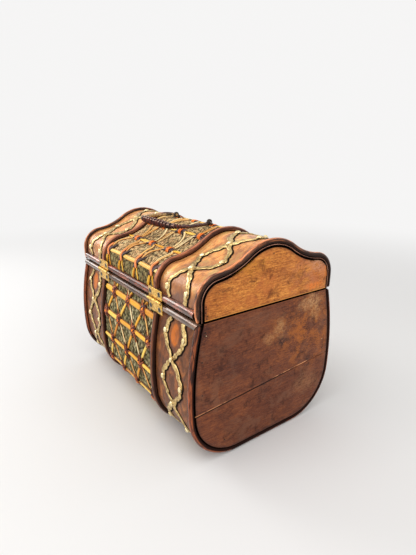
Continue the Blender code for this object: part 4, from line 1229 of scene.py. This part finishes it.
def strand(centre, direction, reach, offset, half_width, low, rise, bend=0.0, height=1.1):
    """A tie strand that runs over a crossing along a direction and tucks down at both ends."""
    ahead = Vector(direction).normalized() * MM
    side = Vector((ahead.y, -ahead.x))
    middle = Vector(centre) + side * offset
    half = ahead * reach
    lean = side * bend
    path = curve_path(
        middle - half - lean, middle - half * 0.3 + lean * 0.5, middle + half * 0.3 - lean * 0.5,
        middle + half + lean,
    )
    return drawn(path, tapered(half_width, half_width * 0.7), height * MM, arch(low, rise, 0.27), 8, 18)


def crossings(rows, lines, least, most):
    """Rows of (x, along) crossings, every other one on the second line. Hand work, so not quite even."""
    made = []
    for i, along in enumerate(rows):
        line = lines[i % 2]
        made.append([(x * NODE_SPACING + random.uniform(least, most) * MM, along * MM) for x in line])
    return made


def neighbours(upper, lower):
    """The pairs of crossings of two rows that a brace joins."""
    return [(a, b) for a in upper for b in lower if abs(a[0] - b[0]) < NODE_SPACING * 0.7]


def spans(row, over):
    """The runs between the crossings of a row, from beyond one edge of the panel to beyond the other."""
    stops = [-PANEL_EDGE_X - over, *[x for x, _ in row], PANEL_EDGE_X + over]
    return zip(stops, stops[1:])


def finish_lattice(part, profile, body, ending, groups):
    """Joins the strips of each group into a piece. The canes take the place of the CAD's lattice."""
    for name, finish, strips in groups:
        replaced = [f"{part}_lattice{ending}"] if name == "canes" else []
        whole = wrapped(joined(strips), profile)
        finished(whole, f"{part}_{name}{ending}", finish, body, "golden_split_cane", replaced)


def body_tie(node, down):
    """A knot over a slat: loops that cross both ways and ends down the braces, a dark bed, a bright turn."""
    x, along = node
    bed = bowed((x, along - 5.2 * MM), (x + random.uniform(-1, 1) * MM, along + 5.2 * MM))
    wrap = drawn(bed, tapered(5.2, 3.8, 0.3), 1.5 * MM, 1.2 * MM, 12, 14, dents=0.7 * MM)
    ties = []
    for sign in (-1, 1):
        for offset in (-3.6, -1.3, 1.3, 3.6):
            lean = (sign * (30 + random.uniform(-9, 9)), 30 * down)
            place = (x + random.uniform(-0.6, 0.6) * MM, along + random.uniform(-1, 1) * MM)
            reach, rise, bend = [random.uniform(*span) for span in ((6.5, 9.5), (1.7, 2.4), (-1.2, 1.2))]
            ties.append(strand(place, lean, reach, offset, 1.0, 1.0, rise, bend, 0.95))
    for lean, reach in ((-20, 13.0), (20, 10.0)):
        reach *= random.uniform(0.9, 1.15)
        ties.append(strand(node, (lean, 34.5 * down), reach, 0, 1.4, 0.8, 1.2, random.uniform(-1, 1)))
    spot = (x + random.uniform(-1.5, 1.5) * MM, along + random.uniform(-1.5, 1.5) * MM)
    bright = strand(spot, (random.choice((-20, 20)), 24), 3.4, 0, 1.5, 2.4, 0.9)
    return ties, wrap, bright


def make_body_lattice():
    rail_edge = BODY.along_at(UNDER_RAIL, 1.5 * MM)
    for side, word in ((1, "back"), (-1, "front")):
        rows = crossings([side * along for along in BODY_ROWS], (THREE, FOUR), -1.5, 1.5)
        golden, thin, ties, wraps, bright = [], [], [], [], []
        for row, half_width in zip(rows, SLAT_HALVES):
            for start, end in spans(row, 2 * MM):
                golden.append(slat(start + 2 * MM, end - 2 * MM, row[0][1], half_width, 1.8))
            for node in row:
                loops, wrap, turn = body_tie(node, -side)
                ties += loops
                wraps.append(wrap)
                bright.append(turn)
        links = []
        for upper, lower in zip(rows, rows[1:]):
            links += neighbours(upper, lower)
        for x, along in rows[0]:
            links += [((x + lean * 6.3 * MM, side * rail_edge), (x, along)) for lean in (-1, 1)]
        for a, b in links:
            kind, way, wide, narrow, height = golden, -1, 2.4, 1.4, 1.2
            if b[0] < a[0]:
                kind, way, wide, narrow, height = thin, 1, 1.4, 1.05, 0.95
            a, b = Vector(a), Vector(b)
            short = (b - a).length < 20 * MM
            inset = (b - a).normalized() * 3 * MM
            path = bowed(a if short else a + inset, b - inset, random.uniform(0.5, 1.6) * MM * way)
            kind.append(drawn(path, tapered(wide, narrow), height * MM, 0.35 * MM, 10, 18))
        finish_lattice("body", BODY, "chest", f"_{word}", (
            ("canes", "golden", golden), ("braces", "pink", thin), ("ties", "tie", ties),
            ("wraps", "bundle", wraps), ("knots", "band", bright),
        ))


def bundle_strands(node, lift):
    """Dark strands gathered under a band, frayed apart at both ends."""
    strands = []
    for k in range(8):
        upper = k > 4
        spread = (k - 6) * 1.1 if upper else (k - 2) * 1.35
        reach = random.uniform(7, 10 if upper else 12)
        path = curve_from(
            node, 1, (-reach * 0.85, spread * random.uniform(0.8, 2.2)), (-3, spread * 0.4),
            (3, spread * 0.4), (reach * 1.25, spread * random.uniform(0.8, 2.2)),
        )
        climb = 0.5 + lift * (1.0 if upper else 0.35)
        strands.append(drawn(path, tapered(1.15, 0.7), 1.2 * MM, arch(0.6, climb, 0.3), 8, 16))
    return strands


def band_wrap(node, lift):
    """Two flat turns bound side by side round the middle of a bundle."""
    reach = 4.4 * MM

    def base(share):
        return (0.3 + (1.5 + lift) * (1 - abs(2 * share - 1) ** 3.5)) * MM

    turns = []
    for shift in (-1.45, 1.45):
        x = node[0] + (shift + random.uniform(-0.1, 0.1)) * MM
        lean = random.uniform(-0.3, 0.3) * MM
        path = bowed((x - lean, node[1] - reach), (x + lean, node[1] + reach))
        turns.append(drawn(path, 1.6 * MM, 0.7 * MM, base, 12, 18, tone=random.uniform(0.3, 0.7)))
    return turns


def shoulder_tie(node, down):
    """A bright strand and a dark bundle crossed over a shoulder slat, with tails to the moulding."""
    tail = (LID_END - abs(node[1])) / MM
    path = curve_from(node, down, (-1.0, -9.5), (3.6, -4.5), (1.8, 3.0), (-2.6, 7.0))
    bright = drawn(path, tapered(2.4, 1.6), 1.7 * MM, arch(0.9, 1.6, 0.3), 10, 20, tone=0.75)
    dark = []
    for shift in (-2.25, -0.75, 0.75, 2.25):
        fan = shift * (1 + 0.5 * abs(shift))
        path = curve_from(
            node, down, (-7.5 + fan, -7.0 + shift), (-3 + shift, -2), (1 + shift, 1),
            (4.0 + shift, 7.0 + shift * 0.5),
        )
        dark.append(drawn(path, tapered(1.3, 0.9), 1.3 * MM, arch(0.7, 1.2, 0.3), 8, 18))
    tails = []
    for start, end in (((-2.4, 6.0), (-6.0, tail)), ((3.0, 7.0), (5.0, tail)), ((5.4, 7.0), (8.2, tail))):
        path = curve_from(node, down, start, (start[0] - 0.5, start[1] + 5), (end[0] + 1.5, end[1] - 5), end)
        tails.append(drawn(path, tapered(1.3, 0.95), 1.1 * MM, 0.4 * MM, 8, 16))
    return bright, dark, tails


def lid_brace(high, low, down):
    """A strip or a pair that leaves a crossing sideways and comes down on the next one from above."""
    sign = 1 if low[0] > high[0] else -1

    def beyond(spot, x, along):
        return Vector(spot) + Vector((sign * x, down * along)) * MM

    start = beyond(high, random.uniform(6, 8), random.uniform(0, 2))
    end = beyond(low, -random.uniform(1.5, 4.5), -5)
    first = beyond(start, random.uniform(6, 9), 2)
    last = beyond(end, random.uniform(0, 2.5), -13)
    if random.random() < 0.45:
        pair = []
        for lean in (-1, 1):
            shift = Vector((lean * 1.15 * MM, 0))
            path = curve_path(start, first + shift * 1.8, last + shift * 1.8, end + shift * 0.6)
            pair.append(drawn(path, tapered(1.15, 0.8), 1.0 * MM, arch(0.4, 0.25, 0.5), 8, 24))
        return pair
    path = curve_path(start, first, last, end)
    return [drawn(path, tapered(1.75, 1.25), 1.15 * MM, arch(0.4, 0.3, 0.5), 10, 24)]


def make_lid_lattice():
    """From the front shoulder over the crown to the back one."""
    rows = crossings(LID_ROWS, (FOUR, THREE), 0, 3)
    golden, braces, pale, ties, bundles, bands = [], [], [], [], [], []
    for i, row in enumerate(rows):
        along = row[0][1]
        outer = i in (0, len(rows) - 1)
        for start, end in spans(row, 1 * MM):
            if outer:
                pale.append(slat(start + 2 * MM, end - 2 * MM, along, 2.5, 1.5))
                continue
            first = start + (5 * MM if start > -PANEL_EDGE_X else 0)
            last = end - (5 * MM if end < PANEL_EDGE_X else 0)
            for sign in (-1, 1):
                beside = along + sign * 0.5 * MM
                path = bowed((first, beside), (last, beside), sign * random.uniform(0.8, 2.2) * MM)
                golden.append(drawn(path, tapered(1.45, 0.9, 0.12), 1.0 * MM, 0.5 * MM, 8, 18))
        for node in row:
            if outer:
                bright, dark, tails = shoulder_tie(node, 1 if along > 0 else -1)
                ties.append(bright)
                bundles += dark
                golden += tails
            else:
                # On the crown itself the bundles stay low, clear of the handle.
                lift = 0.2 if abs(along) < 10 * MM else 1.6
                bundles += bundle_strands(node, lift)
                bands += band_wrap(node, lift)
    for lower, upper in zip(rows, rows[1:]):
        down = 1 if lower[0][1] + upper[0][1] > -10 * MM else -1
        for high, low in neighbours(*(lower, upper)[::down]):
            braces += lid_brace(high, low, down)
    finish_lattice("lid", LID, "lid", "", (
        ("canes", "golden", golden), ("braces", "pink", braces), ("slats", "golden_lid", pale),
        ("ties", "tie_bright", ties), ("bundles", "bundle", bundles), ("bands", "band", bands),
    ))


# Handle. Places on it are shares of its length, from the far trunnion to the near one.

HANDLE_AXIS = Vector(next(joint["pos_m"] for joint in frame["joints"] if joint["name"] == "handle_swing"))
TRUNNION = 0.045
GRIP_START = 0.29
GRIP_END = 0.745
BRAID_PAIRS = 13
UP = Vector((0, 0, 1))

# One half of the bail: the radius in millimetres, angle in degrees and steps of each bend, or the length
# of a straight run with an angle of 0.
BAIL_BENDS = ((4, 0, 6), (3.2, 62, 16), (59.5, 28, 24), (22, 90, 40))


def handle_path():
    """The bail's centre line."""
    points = [Vector((36.3 * MM, 0))]
    heading = 0.0
    for size, turn, steps in BAIL_BENDS:
        bend = math.radians(turn) / steps
        chord = (2 * size * math.sin(bend / 2) if turn else size / steps) * MM
        for _ in range(steps):
            heading += bend / 2
            points.append(points[-1] + chord * Vector((math.cos(heading), math.sin(heading))))
            heading += bend / 2
    half_grip, depth = points[-1]
    points += [Vector((half_grip * (1 - i / 20), depth)) for i in range(1, 21)]
    points += [Vector((-point.x, point.y)) for point in reversed(points[:-1])]
    reached = [0.0]
    for a, b in zip(points, points[1:]):
        reached.append(reached[-1] + (b - a).length)

    def centre(share):
        want = min(1.0, max(0.0, share)) * reached[-1]
        low = min(len(reached) - 2, bisect_right(reached, want) - 1)
        part = (want - reached[low]) / (reached[low + 1] - reached[low])
        spot = points[low].lerp(points[low + 1], part)
        return Vector((spot.x, HANDLE_AXIS.y + spot.y, HANDLE_AXIS.z))

    return centre


def ways(centre, share):
    """The way a level centre line runs, and the way across it."""
    ahead = (centre(share + 0.004) - centre(share - 0.004)).normalized()
    return ahead, Vector((-ahead.y, ahead.x, 0))


def grip_radius(share):
    """The outside of the winding: blunt at the far tip, drawn out thin towards the near arm."""
    place = (share - GRIP_START) / (GRIP_END - GRIP_START)
    rise = 1 - (1 - min(1.0, max(0.0, place) / 0.4)) ** 2
    fall = 1 - max(0.0, (place - 0.4) / 0.6) ** 2
    return (2.4 + 2.2 * rise * fall) * MM


def cane_radius(share):
    """The bare arms, and the cane under the winding."""
    from_end = min(share, 1 - share)
    if from_end < TRUNNION:
        return 1.6 * MM
    if GRIP_START <= share <= GRIP_END:
        return grip_radius(share) - 1.0 * MM
    uneven = noise.noise(Vector((share * 30, 3, 7)))
    return (1.65 + 0.5 * min(1.0, (from_end - TRUNNION) / 0.2) + 0.2 * uneven) * MM


def swept(centre, radius, sides, rings, outward=lambda share: UP):
    """A round stick along a centre line in space."""
    made = blank_stick(sides, rings)
    small = 0.5 / rings
    steps = {}
    for vert in made.data.vertices:
        share = min(1.0, max(0.0, vert.co.y))
        key = round(share, 6)
        if key not in steps:
            ahead = (centre(min(1, share + small)) - centre(max(0, share - small))).normalized()
            across = ahead.cross(outward(share)).normalized()
            steps[key] = (centre(share), across, across.cross(ahead), at(radius, share))
        spot, across, up, size = steps[key]
        vert.co = spot + (across * vert.co.x + up * vert.co.z) * size
    return made


def coil(centre, envelope, first, last, turns, wire):
    """An unbroken winding between two places on a centre line."""

    def around(share):
        across = ways(centre, first + share * (last - first))[1]
        angle = math.tau * turns * share
        return across * math.cos(angle) + UP * math.sin(angle)

    def line(share):
        place = first + share * (last - first)
        return centre(place) + around(share) * (envelope(place) - wire * 0.9)

    return swept(line, wire, 8, turns * 20, around)


def make_handle():
    centre = handle_path()
    core = swept(centre, cane_radius, 16, 180)
    finished(core, "handle_cane", "arm", "handle", "black_brown_cane", ["handle_core"])
    winding = coil(centre, grip_radius, GRIP_START, GRIP_END, 28, 1.2 * MM)
    finished(winding, "grip_winding", "winding", "handle", "oxblood_winding", ["handle_winding"])
    coils = []
    for first, last, turns in ((0.052, 0.09, 6), (0.915, 0.948, 5)):
        coils.append(coil(centre, lambda share: 2.2 * MM, first, last, turns, 0.5 * MM))
    finished(joined(coils), "arm_coils", "knot", "handle", "black_brown_cane")
    make_braid(centre)


def make_braid(centre):
    """Pairs of beads along the top of the grip, with a dark blob between the two of each pair as painted
    shade for the hole there.
    """
    bead = fresh(bpy.ops.mesh.primitive_uv_sphere_add, segments=10, ring_count=7, radius=1)
    beads, hole_shades = [], []
    for i in range(BRAID_PAIRS):
        share = GRIP_START + 0.02 + (GRIP_END - GRIP_START - 0.07) * i / (BRAID_PAIRS - 1)
        ahead, across = ways(centre, share)
        for kind, lean, size, height in (
            (beads, -0.3, (2.1, 0.80, 0.50), 0.12),
            (beads, 0.3, (2.1, 0.80, 0.50), 0.12),
            # Painted shade: dark blobs where the holes of the braid lie in shadow.
            (hole_shades, 0.0, (1.7, 0.85, 0.45), 0.22),
        ):
            tilt = lean - 0.45 - 0.4 * i / BRAID_PAIRS
            long, wide, tall = Vector(size) * (random.uniform(0.88, 1.1) * MM)
            skew = random.uniform(-0.4, 0.4) if kind is beads else 0
            out = across * math.sin(tilt) + UP * math.cos(tilt)
            spot = centre(share) + out * (grip_radius(share) + height * MM)
            lay = Matrix((ahead * long, across * wide, UP * tall)).transposed().to_4x4()
            turn = Matrix.Rotation(skew, 4, "Z") @ Matrix.Rotation(-tilt, 4, ahead)
            made = linked("bead", bead.data.copy())
            made.data.transform(Matrix.Translation(spot) @ turn @ lay)
            kind.append(made)
    bpy.data.objects.remove(bead)
    finished(joined(beads), "grip_braid", "braid", "handle", "oxblood_winding", angle=80)
    finished(joined(hole_shades), "grip_braid_holes", "knot", "handle", "oxblood_winding", angle=80)


# Metalwork

def refined(node, name, finish, body, slot, width=0.0):
    """A copy of a CAD piece, merged and with eased edges."""
    source = bpy.data.objects[node]
    made = linked(name, source.data.copy())
    made.data.transform(source.matrix_world)
    pick(made, "VERT")
    bpy.ops.mesh.remove_doubles(threshold=0.01 * MM)
    bpy.ops.mesh.dissolve_limited(angle_limit=math.radians(1))
    bpy.ops.object.mode_set(mode="OBJECT")
    if width:
        eased(made, width)
    finished(made, name, finish, body, slot, [node])


def screw_head(spot, turn):
    """A round head with a sawn slot, its face towards +Y."""
    head = fresh(
        bpy.ops.mesh.primitive_cylinder_add, vertices=28, radius=2.5 * MM, depth=0.9 * MM,
        rotation=(math.pi / 2, 0, 0),
    )
    eased(head, 0.25 * MM)
    carved(head, (6 * MM, 0.5 * MM, 0.75 * MM), (0, 0.35 * MM, 0))
    head.data.transform(Matrix.Translation(spot) @ Matrix.Rotation(turn, 4, "Y"))
    return head


def make_hinges():
    for _, word in ENDS:
        for part, _, _, body in PARTS:
            node = f"{part}_hinge_leaf_{word}"
            refined(node, f"{part}_leaf_{word}", "leaf", body, "aged_brass", 0.3 * MM)
            low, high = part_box(node)
            level = low.z + 4.9 * MM if part == "body" else high.z - 4.9 * MM
            heads, rims = [], []
            for x in (low.x + 5.2 * MM, high.x - 4.6 * MM):
                spot = Vector((x, low.y + 1.0 * MM, level + random.uniform(-0.5, 0.5) * MM))
                heads.append(screw_head(spot, random.uniform(0, math.pi)))
                rims.append(fresh(
                    bpy.ops.mesh.primitive_torus_add, location=spot + Vector((0, 0.02 * MM, 0)),
                    rotation=(math.pi / 2, 0, 0), major_radius=2.75 * MM, minor_radius=0.28 * MM,
                    major_segments=32, minor_segments=8,
                ))
            finished(joined(heads), f"{part}_hinge_screws_{word}", "steel", body, "dull_steel")
            finished(joined(rims), f"{part}_hinge_sinks_{word}", "pin", body, "aged_brass")
        refined(f"hinge_pin_{word}", f"pin_{word}", "pin", "chest", "dull_steel")


def make_catch():
    """The front catch, and the eyes that carry the handle."""
    refined("catch_hook", "hook", "leaf", "hook", "aged_brass", 0.2 * MM)
    refined("hook_screw", "hook_pivot", "pin", "chest", "aged_brass")
    refined("hook_stud", "stud", "pin", "lid", "aged_brass")
    for _, word in ENDS:
        refined(f"handle_ear_{word}", f"ear_{word}", "ear", "lid", "aged_brass", 0.3 * MM)


# Studio

BACKDROP = (0.92, 0.914, 0.91, 1)
LAMPS = (
    ("softbox_top", (-0.10, 0.35, 1.00), (0.8, 0.5), 3.0),
    ("softbox_end", (-1.05, -0.15, 0.70), (0.7, 0.9), 2.7),
    ("softbox_far", (1.00, 0.54, 0.62), (0.5, 0.5), 4.2),
    ("softbox_back", (0.05, 1.15, 0.45), (1.0, 0.7), 2.3),
)


def make_floor():
    """A pale floor, which passes into the backdrop away from the object."""
    floor = fresh(bpy.ops.mesh.primitive_plane_add, size=12, location=(0, 0, -0.05 * MM))
    floor.name = "studio_floor"
    pale = bpy.data.materials.new("studio_pale")
    pale.use_nodes = True
    tree = pale.node_tree
    shader = tree.nodes["Principled BSDF"]
    shader.inputs["Base Color"].default_value = (0.835, 0.828, 0.817, 1)
    shader.inputs["Roughness"].default_value = 0.6
    shader.inputs["Specular IOR Level"].default_value = 0.1
    place = add_node(tree, "TexCoord").outputs["Object"]
    away = add_node(tree, "VectorMath", {0: place}, operation="LENGTH").outputs["Value"]
    reach = {"Value": away, "From Min": 0.35, "From Max": 1.5}
    fade = add_node(tree, "MapRange", reach, interpolation_type="SMOOTHSTEP").outputs[0]
    eye = add_node(tree, "LightPath").outputs["Is Camera Ray"]
    seen = add_node(tree, "Math", {0: fade, 1: eye}, operation="MULTIPLY").outputs[0]
    glow = add_node(tree, "Emission", {"Color": BACKDROP}).outputs[0]
    blend = add_node(tree, "MixShader", {0: seen, 1: shader.outputs[0], 2: glow}).outputs[0]
    tree.links.new(blend, tree.nodes["Material Output"].inputs["Surface"])
    floor.data.materials.append(pale)


def make_world():
    """The backdrop. It is weaker as a light than it looks to the camera or in a reflection."""
    world = bpy.data.worlds.new("studio")
    bpy.context.scene.world = world
    world.use_nodes = True
    tree = world.node_tree
    background = tree.nodes["Background"]
    background.inputs["Color"].default_value = BACKDROP
    rays = add_node(tree, "LightPath").outputs
    seen = rays["Is Camera Ray"]
    for kind in ("Is Glossy Ray", "Is Transmission Ray"):
        seen = add_node(tree, "Math", {0: seen, 1: rays[kind]}, operation="MAXIMUM").outputs[0]
    strength = add_node(tree, "MapRange", {"Value": seen, "To Min": 0.72, "To Max": 1.0}).outputs[0]
    tree.links.new(strength, background.inputs["Strength"])


def make_lamps():
    for name, place, size, power in LAMPS:
        lamp = bpy.data.lights.new(name, "AREA")
        lamp.shape = "RECTANGLE"
        lamp.size, lamp.size_y = size
        lamp.energy = power
        holder = linked(name, lamp)
        holder.location = place
        aim = Vector((0, 0, 0.1)) - Vector(place)
        holder.rotation_euler = aim.to_track_quat("-Z", "Y").to_euler()


def make_camera():
    """The camera that was fitted to the photo."""
    view = bpy.data.cameras.new("photo_camera")
    view.lens = 26.136
    view.sensor_width = 36
    view.clip_start = 0.01
    camera = linked("photo_camera", view)
    right = Vector((-0.5775378, -0.8163573, -0.0032946))
    up = Vector((0.2391766, -0.1730631, 0.9554286))
    back = Vector((-0.7805413, 0.5510081, 0.2952040))
    turn = Matrix((right, up, back)).transposed().to_4x4()
    camera.matrix_world = Matrix.Translation((-0.431434, 0.279631, 0.309941)) @ turn
    bpy.context.scene.camera = camera
    bpy.context.scene.view_settings.view_transform = "Standard"


make_walls()
make_boards()
make_nails()
make_trims()
make_ribs()
make_rails()
make_hides()
make_grass()
make_straps()
make_body_lattice()
make_lid_lattice()
make_handle()
make_hinges()
make_catch()
make_floor()
make_world()
make_lamps()
make_camera()
